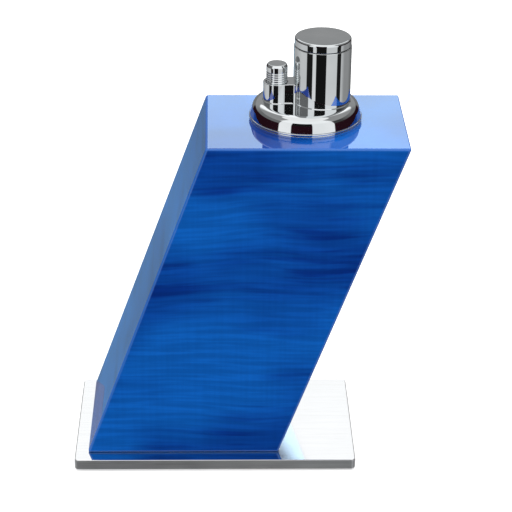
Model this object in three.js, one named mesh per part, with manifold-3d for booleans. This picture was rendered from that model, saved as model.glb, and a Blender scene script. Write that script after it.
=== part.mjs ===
// A table lighter: a leaning block of stained, lacquered sycamore on a polished steel plate, with a
// chrome lighter unit standing on top of the block. The unit drops into a lined bore and lifts out for refilling.
// Units are millimetres and +Z is up. The origin is the middle of the felt's underside, which stands on the table.
// -Y is the front. The unit's own pieces are placed from the middle of its trim ring, on the block's top face.
import * as THREE from "three";
import { mergeVertices } from "three/addons/utils/BufferGeometryUtils.js";
import Module from "manifold-3d";

const wasm = await Module();
wasm.setup();

// ---------------------------------------------------------------- driving dimensions
const FIT = 0.3; // gap around a piece that sits in another

const PLATE = { width: 110, depth: 62, thick: 4.2, corner: 1.5 };
const FELT = { thick: 0.8, inset: 2 };
const BLOCK = { width: 75, depth: 54, height: 130, lean: 46.7, left: -50.1, front: -25.5 };
const BORE = { radius: 18.5, depth: 38 }; // the hole in the block's top
const CUP = { wall: 0.8 }; // the brass liner of that hole
const BASE_SCREW = { radius: 1.9, head: 3.9, headHigh: 2.2, spreadX: 46, spreadY: 34, top: 19 };
const NUT = { radius: 3.2, bore: 2.15, high: 11 }; // threaded insert in the wood

const UNIT = { x: 34, y: 4.3 }; // the lighter unit's centre line on the block's top
const RING = { radius: 21.2, bore: 18.0, thick: 1.9 };
const FLANGE = { rim: 20.9, lean: Math.PI / 14, shoulder: 3.8, top: 7.6, wall: 1.2 };
const TOWER = { x: 5.9, radius: 10.75, wall: 1.0, foot: 6.0, top: 29.3 };
const LOBE = { x: -11, radius: 5.1, web: 4.25, corner: 2.6, wall: 0.6, roof: 1.2, top: 15 };
const LID = { radius: 10.55, low: 29.55, top: 32.6, wall: 0.9, crown: 1.0, round: 0.9 };
const HINGE = { y: 10.55, z: 29.4, radius: 1.3, pin: 0.6, lidHalf: 2.0, bodyHalf: 4.3 };

const BUTTON = { radius: 4.0, rim: 4.35, low: 12.4, top: 22, ringPitch: 0.85, ringDepth: 0.2, rings: 5, stroke: 3.5 };
const STEM = { radius: 2.4, low: 9, top: 18.4, collar: 3.9, collarThick: 1.2, toe: 5.7 };
const PIEZO = { wide: 6.2, deep: 7.2, low: -24, top: -0.5, lip: 0.8, pocket: 10.5, base: -4.1 };
const LEVER = { x: 2.4, z: 1.9, hub: 1.3, pin: 0.7, low: 1.5, top: 2.7, pushX: -7, rodX: 9.2, fork: 6.6 };
const VALVE = { stem: 1.1, collar: 2.4, collarLow: 2.9, body: 3.0, head: 4.3, low: -13, headTop: 0.1 };
const MIXER = { radius: 2.6, low: 5.6, top: 12 };
const BURNER = { radius: 4.0, wall: 0.5, low: 10.4, top: 24.6 };
const GUARD = { radius: 9.4, low: 23.2, top: 24.2 };
const ROD = { wide: 1.8, front: 7.2, back: 8.2, low: 3.0 };

const CHASSIS = { radius: 17.0, low: -3.4, top: -1.9, postTop: 4.0 };
const POSTS = [
  [-8.6, -12.3],
  [-8.6, 12.3],
  [5.1, -14.1],
  [5.1, 14.1],
];
const POST = { radius: 1.8, bore: 1.15, screw: 0.95, head: 1.7, headHigh: 1.1 };
const TANK = { radius: 16.4, wall: 1.5, floor: 2, low: -35, top: -5, cover: 1.6 };
const SEAL = { radius: 16.6, thick: 0.7, z: -12 }; // the ring that grips the cup
const FILLER = { x: 3, y: -9.5, radius: 3.0, head: 3.8, bore: 1.3, stem: 1.0, top: -26, low: -36.2 };
const ADJUSTER = { head: 2.9, spindle: 0.8, low: -36.2, top: -14 };

// The push button drives the rest through one lever, so its turn and the lifts follow from the button's stroke.
const LEVER_ANGLE = Math.asin(BUTTON.stroke / (LEVER.x - LEVER.pushX));
const ROD_LIFT = (LEVER.rodX - LEVER.x) * Math.sin(LEVER_ANGLE);
const CRANK = { radius: ROD_LIFT / Math.SQRT2, pin: 0.45 }; // turns the lid from 45 degrees below level to 45 above

const FINE = 40;
const ROUND = 24;
const SMALL = 16;
const TINY = 10;

const MATERIALS = {
  sycamore: new THREE.MeshStandardMaterial({ color: 0x0a4aa0, roughness: 0.12, metalness: 0 }),
  steel: new THREE.MeshStandardMaterial({ color: 0xd8dadb, roughness: 0.06, metalness: 1 }),
  chrome: new THREE.MeshStandardMaterial({ color: 0xdfe3e6, roughness: 0.03, metalness: 1 }),
  brass: new THREE.MeshStandardMaterial({ color: 0xc9a24a, roughness: 0.3, metalness: 1 }),
  zinc: new THREE.MeshStandardMaterial({ color: 0x9a9da0, roughness: 0.45, metalness: 1 }),
  spring: new THREE.MeshStandardMaterial({ color: 0xb4b7ba, roughness: 0.25, metalness: 1 }),
  nylon: new THREE.MeshStandardMaterial({ color: 0x1d1f22, roughness: 0.5, metalness: 0 }),
  tank: new THREE.MeshStandardMaterial({ color: 0xd9dccf, roughness: 0.35, metalness: 0 }),
  rubber: new THREE.MeshStandardMaterial({ color: 0x141414, roughness: 0.8, metalness: 0 }),
  ceramic: new THREE.MeshStandardMaterial({ color: 0xefece2, roughness: 0.3, metalness: 0 }),
  felt: new THREE.MeshStandardMaterial({ color: 0x15181d, roughness: 1, metalness: 0 }),
};

// ---------------------------------------------------------------- solids
// A closed three.js geometry as a solid, whichever way round its faces were drawn.
function solid(geometry) {
  const plain = geometry.index ? geometry.toNonIndexed() : geometry.clone();
  const bare = new THREE.BufferGeometry().setAttribute("position", plain.getAttribute("position"));
  const merged = mergeVertices(bare, 1e-4);
  const mesh = { numProp: 3, vertProperties: merged.attributes.position.array };
  const corners = new Uint32Array(merged.index.array);
  const made = new wasm.Manifold(new wasm.Mesh({ ...mesh, triVerts: corners }));
  if (made.volume() > 0) return made;
  return new wasm.Manifold(new wasm.Mesh({ ...mesh, triVerts: corners.reverse() }));
}

function geometryOf(made) {
  const mesh = made.getMesh();
  const geometry = new THREE.BufferGeometry();
  geometry.setAttribute("position", new THREE.BufferAttribute(mesh.vertProperties, 3));
  geometry.setIndex(new THREE.BufferAttribute(mesh.triVerts, 1));
  geometry.computeVertexNormals();
  return geometry;
}

function join(first, ...rest) {
  return rest.reduce((all, next) => all.add(next), first);
}

function cut(first, ...tools) {
  return tools.reduce((left, tool) => left.subtract(tool), first);
}

function box(x0, x1, y0, y1, z0, z1) {
  const geometry = new THREE.BoxGeometry(x1 - x0, y1 - y0, z1 - z0);
  return solid(geometry.translate((x0 + x1) / 2, (y0 + y1) / 2, (z0 + z1) / 2));
}

// An upright cylinder, or a cone where top differs from radius.
function post(x, y, radius, z0, z1, segments = ROUND, top = radius) {
  const geometry = new THREE.CylinderGeometry(top, radius, z1 - z0, segments);
  return solid(geometry.rotateX(Math.PI / 2).translate(x, y, (z0 + z1) / 2));
}

// A cylinder along X (axis "x") or Y (axis "y") between two places on that axis.
function crossbar(axis, from, to, a, b, radius, segments = SMALL) {
  const geometry = new THREE.CylinderGeometry(radius, radius, to - from, segments);
  if (axis === "y") return solid(geometry.translate(a, (from + to) / 2, b));
  return solid(geometry.rotateZ(Math.PI / 2).translate((from + to) / 2, a, b));
}

// A piece turned about the upright line through x, y. The outline is [radius, height] pairs, closed on itself.
function turned(outline, x = 0, y = 0, segments = FINE) {
  const points = [...outline, outline[0]].map(([r, z]) => new THREE.Vector2(r, z));
  const geometry = new THREE.LatheGeometry(points, segments);
  return solid(geometry.rotateX(Math.PI / 2).translate(x, y, 0));
}

function pipe(x, y, outer, inner, z0, z1, segments = FINE) {
  const corners = [
    [inner, z0],
    [outer, z0],
    [outer, z1],
    [inner, z1],
  ];
  return turned(corners, x, y, segments);
}

// A flat shape in the XY plane made thick from z0 to z1.
function slab(shape, z0, z1, curveSegments = 12) {
  const geometry = new THREE.ExtrudeGeometry(shape, { depth: z1 - z0, bevelEnabled: false, curveSegments });
  return solid(geometry.translate(0, 0, z0));
}

function roundedRectangle(width, depth, corner) {
  const [x, y] = [width / 2, depth / 2];
  const shape = new THREE.Shape();
  shape.absarc(x - corner, y - corner, corner, 0, Math.PI / 2, false);
  shape.absarc(-x + corner, y - corner, corner, Math.PI / 2, Math.PI, false);
  shape.absarc(-x + corner, -y + corner, corner, Math.PI, 1.5 * Math.PI, false);
  shape.absarc(x - corner, -y + corner, corner, 1.5 * Math.PI, 2 * Math.PI, false);
  return shape;
}

function circleShape(radius, sides) {
  const shape = new THREE.Shape();
  for (let i = 0; i < sides; i++) {
    const angle = (2 * Math.PI * i) / sides;
    if (i) shape.lineTo(radius * Math.cos(angle), radius * Math.sin(angle));
    else shape.moveTo(radius, 0);
  }
  return shape;
}

// Round wire along a curve.
function wire(curve, radius, steps, sides = 8) {
  const section = circleShape(radius, sides);
  return solid(new THREE.ExtrudeGeometry(section, { steps, bevelEnabled: false, extrudePath: curve }));
}

class Helix extends THREE.Curve {
  constructor(x, y, radius, z0, z1, turns) {
    super();
    Object.assign(this, { x, y, radius, z0, z1, turns });
  }
  getPoint(t, target = new THREE.Vector3()) {
    const angle = 2 * Math.PI * this.turns * t;
    return target.set(
      this.x + this.radius * Math.cos(angle),
      this.y + this.radius * Math.sin(angle),
      this.z0 + (this.z1 - this.z0) * t,
    );
  }
}

function coil(x, y, radius, gauge, z0, z1, turns) {
  return wire(new Helix(x, y, radius, z0 + gauge, z1 - gauge, turns), gauge, Math.round(turns * 12), 5);
}

// ---------------------------------------------------------------- the base
const FLOOR = FELT.thick; // underside of the plate
const DECK = FELT.thick + PLATE.thick; // top of the plate, where the block stands
const TOP = DECK + BLOCK.height; // top of the block, where the unit sits

function screwPlaces() {
  const middle = { x: BLOCK.left + BLOCK.width / 2 + 1.6, y: BLOCK.front + BLOCK.depth / 2 };
  const places = [];
  for (const sx of [-1, 1])
    for (const sy of [-1, 1])
      places.push([middle.x + (sx * BASE_SCREW.spreadX) / 2, middle.y + (sy * BASE_SCREW.spreadY) / 2]);
  return places;
}

function feltPad() {
  const inset = 2 * FELT.inset;
  return slab(roundedRectangle(PLATE.width - inset, PLATE.depth - inset, PLATE.corner), 0, FLOOR, 3);
}

function basePlate() {
  const blank = slab(roundedRectangle(PLATE.width, PLATE.depth, PLATE.corner), FLOOR, DECK, 4);
  const holes = screwPlaces().map(([x, y]) =>
    join(
      post(x, y, BASE_SCREW.radius + FIT, FLOOR - 1, DECK + 1, SMALL),
      post(x, y, BASE_SCREW.head + FIT, FLOOR - 0.01, FLOOR + BASE_SCREW.headHigh, SMALL, BASE_SCREW.radius + FIT),
    ),
  );
  return cut(blank, ...holes);
}

function baseScrew([x, y]) {
  const low = FLOOR + 0.1;
  return join(
    post(x, y, BASE_SCREW.head, low, low + BASE_SCREW.headHigh, SMALL, BASE_SCREW.radius),
    post(x, y, BASE_SCREW.radius, low + 1, BASE_SCREW.top, SMALL),
  );
}

function threadedInsert([x, y]) {
  return pipe(x, y, NUT.radius, NUT.bore, DECK + FIT, DECK + FIT + NUT.high, SMALL);
}

function woodBlock() {
  const outline = new THREE.Shape();
  outline.moveTo(BLOCK.left, DECK);
  outline.lineTo(BLOCK.left + BLOCK.width, DECK);
  outline.lineTo(BLOCK.left + BLOCK.width + BLOCK.lean, TOP);
  outline.lineTo(BLOCK.left + BLOCK.lean, TOP);
  const geometry = new THREE.ExtrudeGeometry(outline, { depth: BLOCK.depth, bevelEnabled: false });
  geometry.rotateX(Math.PI / 2).translate(0, BLOCK.front + BLOCK.depth, 0);
  const bore = post(UNIT.x, UNIT.y, BORE.radius, TOP - BORE.depth, TOP + 1, FINE);
  const holes = screwPlaces().map(([x, y]) =>
    post(x, y, NUT.radius + FIT, DECK - 1, BASE_SCREW.top + 3, SMALL),
  );
  return cut(solid(geometry), bore, ...holes);
}

// ---------------------------------------------------------------- the unit's shell, from the ring's middle
function linerCup() {
  const outer = BORE.radius - FIT;
  const low = -BORE.depth + FIT;
  return turned([
    [0, low],
    [outer, low],
    [outer, 0],
    [outer - CUP.wall, 0],
    [outer - CUP.wall, low + CUP.wall],
    [0, low + CUP.wall],
  ]);
}

function quarterRound(cx, cz, radius, from, to, steps) {
  return Array.from({ length: steps + 1 }, (_, i) => {
    const angle = from + ((to - from) * i) / steps;
    return [cx + radius * Math.cos(angle), cz + radius * Math.sin(angle)];
  });
}

// The flange's wall leans in as it rises, then turns over the shoulder onto the level top.
function flange() {
  const { rim, lean, shoulder, top, wall } = FLANGE;
  const turn = top - shoulder; // height of the shoulder's centre
  const rise = turn + shoulder * Math.sin(lean) - RING.thick;
  const bend = rim - rise * Math.tan(lean) - shoulder * Math.cos(lean);
  const dome = turned([
    [0, RING.thick],
    [rim, RING.thick],
    ...quarterRound(bend, turn, shoulder, lean, Math.PI / 2, 6),
    [0, top],
  ]);
  const hollow = turned([
    [0, RING.thick - 1],
    [rim - wall, RING.thick - 1],
    [rim - wall, RING.thick],
    ...quarterRound(bend, turn, shoulder - wall, lean, Math.PI / 2, 4),
    [0, top - wall],
  ]);
  const bosses = POSTS.map(([x, y]) => post(x, y, POST.radius, POST.bore + CHASSIS.postTop - 0.85, top - 1, SMALL));
  const threads = POSTS.map(([x, y]) => post(x, y, POST.bore, 0, top - wall - 0.1, TINY));
  const mouth = join(post(TOWER.x, 0, TOWER.radius - 0.3, 0, top + 1, FINE), lobeHollow(0, top + 1));
  return cut(join(cut(dome, hollow), ...bosses), ...threads, mouth);
}

// The web that joins the lobe to the tower, seen from above, with a hollow corner against the tower on each side.
function webShape() {
  const { x, web, corner } = LOBE;
  const away = web + corner;
  const along = TOWER.x - Math.sqrt((TOWER.radius + corner) ** 2 - away ** 2);
  const turn = Math.atan2(away, TOWER.x - along);
  const shape = new THREE.Shape();
  shape.moveTo(x, web);
  shape.absarc(along, away, corner, -Math.PI / 2, -turn, false);
  shape.lineTo(TOWER.x, 0);
  shape.absarc(along, -away, corner, turn, Math.PI / 2, false);
  shape.lineTo(x, -web);
  return shape;
}

function lobeHollow(z0, z1) {
  const half = LOBE.web - LOBE.wall;
  return join(post(LOBE.x, 0, LOBE.radius - LOBE.wall, z0, z1, FINE), box(LOBE.x, TOWER.x, -half, half, z0, z1));
}

// The burner's tower with the button's lobe cast on its left side, and the lid's two hinge knuckles at the back.
function towerHousing() {
  const { x, radius, wall, foot, top } = TOWER;
  const shell = join(
    post(x, 0, radius, FLANGE.top, top, FINE),
    post(x, 0, radius - 0.5, foot, FLANGE.top, FINE),
    post(LOBE.x, 0, LOBE.radius, FLANGE.top, LOBE.top, FINE),
    slab(webShape(), FLANGE.top, LOBE.top, 6),
    crossbar("x", x - HINGE.bodyHalf, x + HINGE.bodyHalf, HINGE.y, HINGE.z, HINGE.radius),
  );
  const knuckleGap = crossbar("x", x - HINGE.lidHalf - 0.2, x + HINGE.lidHalf + 0.2, HINGE.y, HINGE.z, HINGE.radius + FIT);
  return cut(
    shell,
    post(x, 0, radius - wall, 0, top + 3, FINE),
    lobeHollow(0, LOBE.top - LOBE.roof),
    post(LOBE.x, 0, BUTTON.radius + 0.15, 0, LOBE.top + 1),
    knuckleGap,
    box(x - 2.2, x + 2.2, 8, radius - 0.65, HINGE.z - 2.6, top + 1),
    crossbar("x", x - 9, x + 9, HINGE.y, HINGE.z, HINGE.pin + 0.15, TINY),
  );
}

// The lid, with its hinge knuckle and the two ears that hold the crank pin inside the tower.
function lid() {
  const { radius, low, top, wall, crown, round } = LID;
  const x = TOWER.x;
  const cap = turned(
    [
      [0, top - crown],
      [radius - wall, top - crown],
      [radius - wall, low],
      [radius, low],
      ...quarterRound(radius - round, top - round, round, 0, Math.PI / 2, 3),
      [0, top],
    ],
    x,
  );
  const bodyKnuckles = [-1, 1].map((side) => {
    const ends = [HINGE.lidHalf - 0.2, HINGE.bodyHalf + FIT].map((e) => x + side * e);
    return crossbar("x", Math.min(...ends), Math.max(...ends), HINGE.y, HINGE.z, HINGE.radius + FIT);
  });
  const knuckle = crossbar("x", x - HINGE.lidHalf, x + HINGE.lidHalf, HINGE.y, HINGE.z, HINGE.radius);
  const crankY = HINGE.y - CRANK.radius * Math.SQRT1_2;
  const crankZ = HINGE.z - CRANK.radius * Math.SQRT1_2;
  const ears = [-1, 1].map((side) => {
    const ends = [1.15, 1.85].map((e) => x + side * e);
    return box(Math.min(...ends), Math.max(...ends), crankY - 0.7, HINGE.y - 1.15, crankZ - 0.7, top - 0.5);
  });
  const crankPin = crossbar("x", x - 1.5, x + 1.5, crankY, crankZ, CRANK.pin, TINY);
  const bore = crossbar("x", x - 9, x + 9, HINGE.y, HINGE.z, HINGE.pin + 0.15, TINY);
  return cut(join(cut(cap, ...bodyKnuckles), knuckle, ...ears, crankPin), bore);
}

function lidHingePin() {
  const half = HINGE.bodyHalf - 0.1;
  return crossbar("x", TOWER.x - half, TOWER.x + half, HINGE.y, HINGE.z, HINGE.pin, TINY);
}

// ---------------------------------------------------------------- button, lever, rod and valve
function pushButton() {
  const { radius, rim, low, top, ringPitch, ringDepth, rings } = BUTTON;
  const outline = [
    [0, top],
    [0, STEM.top + FIT],
    [STEM.radius + 0.1, STEM.top + FIT],
    [STEM.radius + 0.1, low],
    [rim, low],
    [rim, low + 1.1],
    [radius, low + 1.1],
  ];
  const first = LOBE.top + 0.5;
  for (let i = 0; i < rings; i++) {
    const z = first + i * ringPitch;
    outline.push([radius, z - 0.2], [radius - ringDepth, z], [radius, z + 0.2]);
  }
  outline.push(...quarterRound(radius - 1, top - 1, 1, 0, Math.PI / 2, 2));
  return turned(outline, LOBE.x, 0, SMALL);
}

// The stem under the button, with the foot that pushes the lever down.
function buttonStem() {
  const { radius, low, top, collar, collarThick, toe } = STEM;
  return join(
    post(LOBE.x, 0, radius, low, top, SMALL),
    post(LOBE.x, 0, collar, low, low + collarThick, SMALL),
    box(LOBE.x, LEVER.pushX + 1, -1.2, 1.2, low, low + collarThick),
    box(LEVER.pushX - 0.6, LEVER.pushX + 1, -1.2, 1.2, toe, low + 0.5),
  );
}

// The hammer unit's case. A lip at its top holds the plunger's base in and carries the return spring.
function piezoBody() {
  const { wide, deep, low, top, lip, pocket } = PIEZO;
  const [x, w, d] = [LOBE.x, wide / 2, deep / 2];
  return cut(
    box(x - w, x + w, -d, d, low, top),
    box(x - w + 0.5, x + w - 0.5, -d + 0.5, d - 0.5, top - pocket, top - lip),
    post(x, 0, 1.9, top - lip - 1, top + 1, SMALL),
  );
}

function piezoPlunger() {
  const [x, w, d] = [LOBE.x, PIEZO.wide / 2 - 0.8, PIEZO.deep / 2 - 0.8];
  return join(
    box(x - w, x + w, -d, d, PIEZO.base - 2.4, PIEZO.base),
    post(x, 0, 1.6, PIEZO.base - 0.5, 8, SMALL),
    post(x, 0, 2.6, 7.4, 8.7, SMALL),
  );
}

function piezoSpring() {
  return coil(LOBE.x, 0, 2.2, 0.28, PIEZO.top + 0.1, 7.3, 4);
}

// One stamping: the left arm lies under the button's foot, the fork lifts the valve, the last arm lifts the rod.
function gasLever() {
  const { x, z, hub, pin, low, top, pushX, rodX, fork } = LEVER;
  const leftArm = new THREE.Shape();
  leftArm.moveTo(x, z - 0.6);
  leftArm.lineTo(x, z + 0.7);
  leftArm.lineTo(pushX + 1.6, 5.3);
  leftArm.lineTo(pushX - 0.9, 5.3);
  leftArm.lineTo(pushX - 0.9, 4.1);
  leftArm.lineTo(pushX + 1.2, 4.1);
  const arm = new THREE.ExtrudeGeometry(leftArm, { depth: 3, bevelEnabled: false });
  arm.rotateX(Math.PI / 2).translate(0, 1.5, 0);
  const body = join(
    solid(arm),
    crossbar("y", -4.2, 4.2, x, z, hub),
    box(x, fork, -3.6, -1.5, low, top),
    box(x, fork, 1.5, 3.6, low, top),
    box(x, rodX + 0.6, 2.7, 3.9, low, top),
    box(rodX - 0.6, rodX + 0.6, 3.5, 8.3, low, top),
  );
  return cut(body, crossbar("y", -5, 5, x, z, pin + 0.12, TINY));
}

function leverPin() {
  return crossbar("y", -6.2, 6.2, LEVER.x, LEVER.z, LEVER.pin, TINY);
}

// The rod that carries the lever's lift up the back of the tower to the lid's crank pin.
function lidRod() {
  const { wide, front, back, low } = ROD;
  const [left, right] = [TOWER.x - wide / 2, TOWER.x + wide / 2];
  const crankY = HINGE.y - CRANK.radius * Math.SQRT1_2;
  const crankZ = HINGE.z - CRANK.radius * Math.SQRT1_2;
  const slot = CRANK.pin + 0.15;
  const fork = box(left, right, front, crankY - 0.15, crankZ - slot - 0.6, crankZ + slot + 0.5);
  const gap = box(left - 1, right + 1, crankY - CRANK.radius * 0.3 - slot, crankY + 2, crankZ - slot, crankZ + slot);
  const foot = box(left, LEVER.rodX + 0.6, front, back, low, low + 1.2);
  return cut(join(box(left, right, front, back, low, crankZ), foot, fork), gap);
}

function valveStem() {
  const { stem, collar, collarLow } = VALVE;
  const outline = [
    [0, -9],
    [stem, -9],
    [stem, collarLow],
    [collar, collarLow],
    [collar, collarLow + 0.6],
    [stem, collarLow + 0.6],
    [stem, 6],
    [0.6, 6.8],
    [0, 6.8],
  ];
  return turned(outline, TOWER.x, 0, SMALL);
}

function valveSpring() {
  return coil(TOWER.x, 0, 1.7, 0.16, VALVE.collarLow + 0.65, MIXER.low - 0.05, 2);
}

function valveBody() {
  const { body, head, low, headTop, stem } = VALVE;
  const bore = stem + 0.2;
  const outline = [
    [0.5, low],
    [body, low],
    [body, CHASSIS.top],
    [head, CHASSIS.top],
    [head, headTop],
    [bore, headTop],
    [bore, -10],
    [0.5, -10.6],
  ];
  return turned(outline, TOWER.x, 0, ROUND);
}

function valveSeal() {
  return pipe(TOWER.x, 0, 4.6, VALVE.body + 0.1, TANK.top - 0.7, TANK.top, ROUND);
}

// ---------------------------------------------------------------- burner and spark
function burnerMixer() {
  const { radius, low, top } = MIXER;
  const body = turned(
    [
      [VALVE.stem + 0.25, low],
      [radius, low],
      [radius, top],
      [1.6, top],
      [0.7, low + 3.4],
      [VALVE.stem + 0.25, low + 2.9],
    ],
    TOWER.x,
    0,
    SMALL,
  );
  return cut(body, crossbar("x", TOWER.x - 4, TOWER.x + 4, 0, low + 4.1, 0.55, TINY));
}

function burnerTube() {
  const { radius, wall, low, top } = BURNER;
  const outline = [
    [MIXER.radius + 0.1, low],
    [radius, low],
    [radius, top],
    [radius - wall, top],
    [radius - wall, low + 0.8],
    [MIXER.radius + 0.1, low + 0.8],
  ];
  return turned(outline, TOWER.x, 0, ROUND);
}

// A disc with one hole in its middle and six around it, which spreads the gas in the burner's mouth.
function flameSpreader() {
  const [low, high] = [BURNER.top - 2.2, BURNER.top - 1.4];
  const holes = [post(TOWER.x, 0, 0.6, low - 1, high + 1, TINY)];
  for (let i = 0; i < 6; i++) {
    const angle = (i * Math.PI) / 3;
    holes.push(post(TOWER.x + 2 * Math.cos(angle), 2 * Math.sin(angle), 0.45, low - 1, high + 1, 8));
  }
  return cut(post(TOWER.x, 0, BURNER.radius - BURNER.wall - 0.1, low, high, SMALL), ...holes);
}

// The windscreen plate: it fills the tower's mouth around the burner, with air holes and a notch for the rod.
function burnerGuard() {
  const { radius, low, top } = GUARD;
  const holes = [];
  for (let i = 0; i < 12; i++) {
    const angle = ((i + 0.5) * Math.PI) / 6;
    holes.push(post(TOWER.x + 6.6 * Math.cos(angle), 6.6 * Math.sin(angle), 0.8, low - 1, top + 1, 10));
  }
  const notch = box(TOWER.x - 2.1, TOWER.x + 2.1, ROD.front - 0.3, 11, low - 1, top + 1);
  return cut(pipe(TOWER.x, 0, radius, BURNER.radius + 0.1, low, top), notch, ...holes, ...sparkHole(low, top));
}

const SPARK = { x: TOWER.x - 5.1, y: -1.3 }; // where the electrode comes up beside the burner

function sparkHole(low, top) {
  return [post(SPARK.x, SPARK.y, 1.1, low - 1, top + 1, TINY)];
}

function electrodeInsulator() {
  return pipe(SPARK.x, SPARK.y, 0.9, 0.5, 14.5, BURNER.top - 0.2, TINY);
}

function electrode() {
  const { x } = SPARK;
  const path = new THREE.CatmullRomCurve3([
    new THREE.Vector3(x, SPARK.y, 15.5),
    new THREE.Vector3(x, SPARK.y, 20),
    new THREE.Vector3(x, SPARK.y, BURNER.top + 0.4),
    new THREE.Vector3(x + 0.5, SPARK.y + 0.2, BURNER.top + 1.3),
    new THREE.Vector3(x + 1.9, SPARK.y + 0.5, BURNER.top + 1.5),
  ]);
  return wire(path, 0.3, 16, 6);
}

// The insulated lead from the piezo unit up the inside of the tower to the electrode.
function sparkLead() {
  const { x } = SPARK;
  const path = new THREE.CatmullRomCurve3([
    new THREE.Vector3(-7.1, -3.0, -2.9),
    new THREE.Vector3(-7.0, -3.0, -1.0),
    new THREE.Vector3(-5.4, -2.9, 3.0),
    new THREE.Vector3(-2.9, -2.9, 7.5),
    new THREE.Vector3(-1.4, -2.7, 10.5),
    new THREE.Vector3(x, SPARK.y - 0.1, 13.2),
    new THREE.Vector3(x, SPARK.y, 14.2),
  ]);
  return wire(path, 0.55, 24, 8);
}

// ---------------------------------------------------------------- chassis and tank
function chassis() {
  const { radius, low, top, postTop } = CHASSIS;
  const ear = (side) => {
    const ends = [4.5, 5.9].map((e) => side * e);
    return box(LEVER.x - 1.7, LEVER.x + 1.7, Math.min(...ends), Math.max(...ends), top - 0.5, LEVER.z + 1.7);
  };
  const w = PIEZO.wide / 2 + FIT;
  const d = PIEZO.deep / 2 + FIT;
  return cut(
    join(
      post(0, 0, radius, low, top, FINE),
      ear(-1),
      ear(1),
      ...POSTS.map(([x, y]) => post(x, y, POST.radius, top - 0.5, postTop, SMALL)),
    ),
    box(LOBE.x - w, LOBE.x + w + 1.2, -d, d, low - 1, top + 1),
    post(TOWER.x, 0, VALVE.body + 0.1, low - 1, top + 1),
    crossbar("y", -8, 8, LEVER.x, LEVER.z, LEVER.pin + 0.1, TINY),
    ...POSTS.map(([x, y]) => post(x, y, POST.bore, low - 1, postTop + 1, TINY)),
    ...POSTS.map(([x, y]) => post(x, y, POST.head + 0.2, low - 1, low + POST.headHigh, SMALL)),
  );
}

function chassisScrew([x, y]) {
  const low = CHASSIS.low + 0.05;
  return join(
    post(x, y, POST.head, low, low + POST.headHigh - 0.1, SMALL),
    post(x, y, POST.screw, low + 0.5, FLANGE.top - FLANGE.wall - 0.4, TINY),
  );
}

function piezoPocket(gap, low, top) {
  const w = PIEZO.wide / 2 + gap;
  const d = PIEZO.deep / 2 + gap;
  return box(LOBE.x - w, LOBE.x + w, -d, d, low, top);
}

function tankBody() {
  const { radius, wall, floor, low, top } = TANK;
  const groove = pipe(0, 0, radius + 1, SEAL.radius - SEAL.thick - 0.1, SEAL.z - SEAL.thick - 0.1, SEAL.z + SEAL.thick + 0.1);
  const grooveBack = pipe(0, 0, radius - 0.5, radius - wall - 1.2, SEAL.z - 1.8, SEAL.z + 1.8);
  const space = cut(
    post(0, 0, radius - wall, low + floor, top + 1, FINE),
    piezoPocket(FIT + 1, PIEZO.low - FIT - 1, top + 2),
    grooveBack,
  );
  return cut(
    post(0, 0, radius, low, top, FINE),
    space,
    groove,
    piezoPocket(FIT, PIEZO.low - FIT, top + 1),
    post(FILLER.x, FILLER.y, FILLER.radius + 0.1, low - 1, low + floor + 1),
    post(TOWER.x, 0, ADJUSTER.spindle + 0.15, low - 1, low + floor + 1, TINY),
  );
}

function tankCover() {
  return cut(
    post(0, 0, TANK.radius, TANK.top, TANK.top + TANK.cover, FINE),
    piezoPocket(FIT, TANK.top - 1, TANK.top + 3),
    post(TOWER.x, 0, VALVE.body + 0.1, TANK.top - 1, TANK.top + 3),
  );
}

function retainingRing() {
  const ring = new THREE.TorusGeometry(SEAL.radius, SEAL.thick, 8, FINE);
  return solid(ring.translate(0, 0, SEAL.z));
}

function fillerValveBody() {
  const { x, y, radius, head, bore, top, low } = FILLER;
  const outline = [
    [bore, low],
    [head, low],
    [head, TANK.low],
    [radius, TANK.low],
    [radius, top],
    [0.5, top],
    [0.5, top - 0.6],
    [bore + 0.7, top - 0.6],
    [bore + 0.7, low + 4],
    [bore, low + 4],
  ];
  return turned(outline, x, y, SMALL);
}

function fillerValveStem() {
  const { x, y, stem, bore, low, top } = FILLER;
  const outline = [
    [0.4, low + 0.5],
    [stem, low + 0.5],
    [stem, low + 4.2],
    [bore + 0.5, low + 4.2],
    [bore + 0.5, low + 5],
    [stem, low + 5],
    [stem, top - 3],
    [0, top - 3],
    [0, top - 4],
    [0.4, top - 4.2],
  ];
  return turned(outline, x, y, SMALL);
}

function fillerSpring() {
  return coil(FILLER.x, FILLER.y, 1.45, 0.18, FILLER.low + 5.1, FILLER.top - 0.7, 4);
}

function flameAdjuster() {
  const { head, spindle, low, top } = ADJUSTER;
  const screw = join(
    post(TOWER.x, 0, head, low, TANK.low - 0.05, SMALL),
    post(TOWER.x, 0, spindle, low + 0.5, top, TINY),
  );
  return cut(screw, box(TOWER.x - head, TOWER.x + head, -0.35, 0.35, low - 1, low + 0.6));
}

// ---------------------------------------------------------------- assembly
function piece(name, made, material) {
  const mesh = new THREE.Mesh(geometryOf(made), MATERIALS[material]);
  mesh.name = name;
  return mesh;
}

const base = new THREE.Group();
base.add(
  piece("felt_pad", feltPad(), "felt"),
  piece("base_plate", basePlate(), "steel"),
  piece("wood_block", woodBlock(), "sycamore"),
);
screwPlaces().forEach((place, i) => {
  base.add(piece(`base_screw_${i + 1}`, baseScrew(place), "steel"));
  base.add(piece(`threaded_insert_${i + 1}`, threadedInsert(place), "brass"));
});

const cup = new THREE.Group();
cup.add(piece("liner_cup", linerCup(), "brass"));

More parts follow.
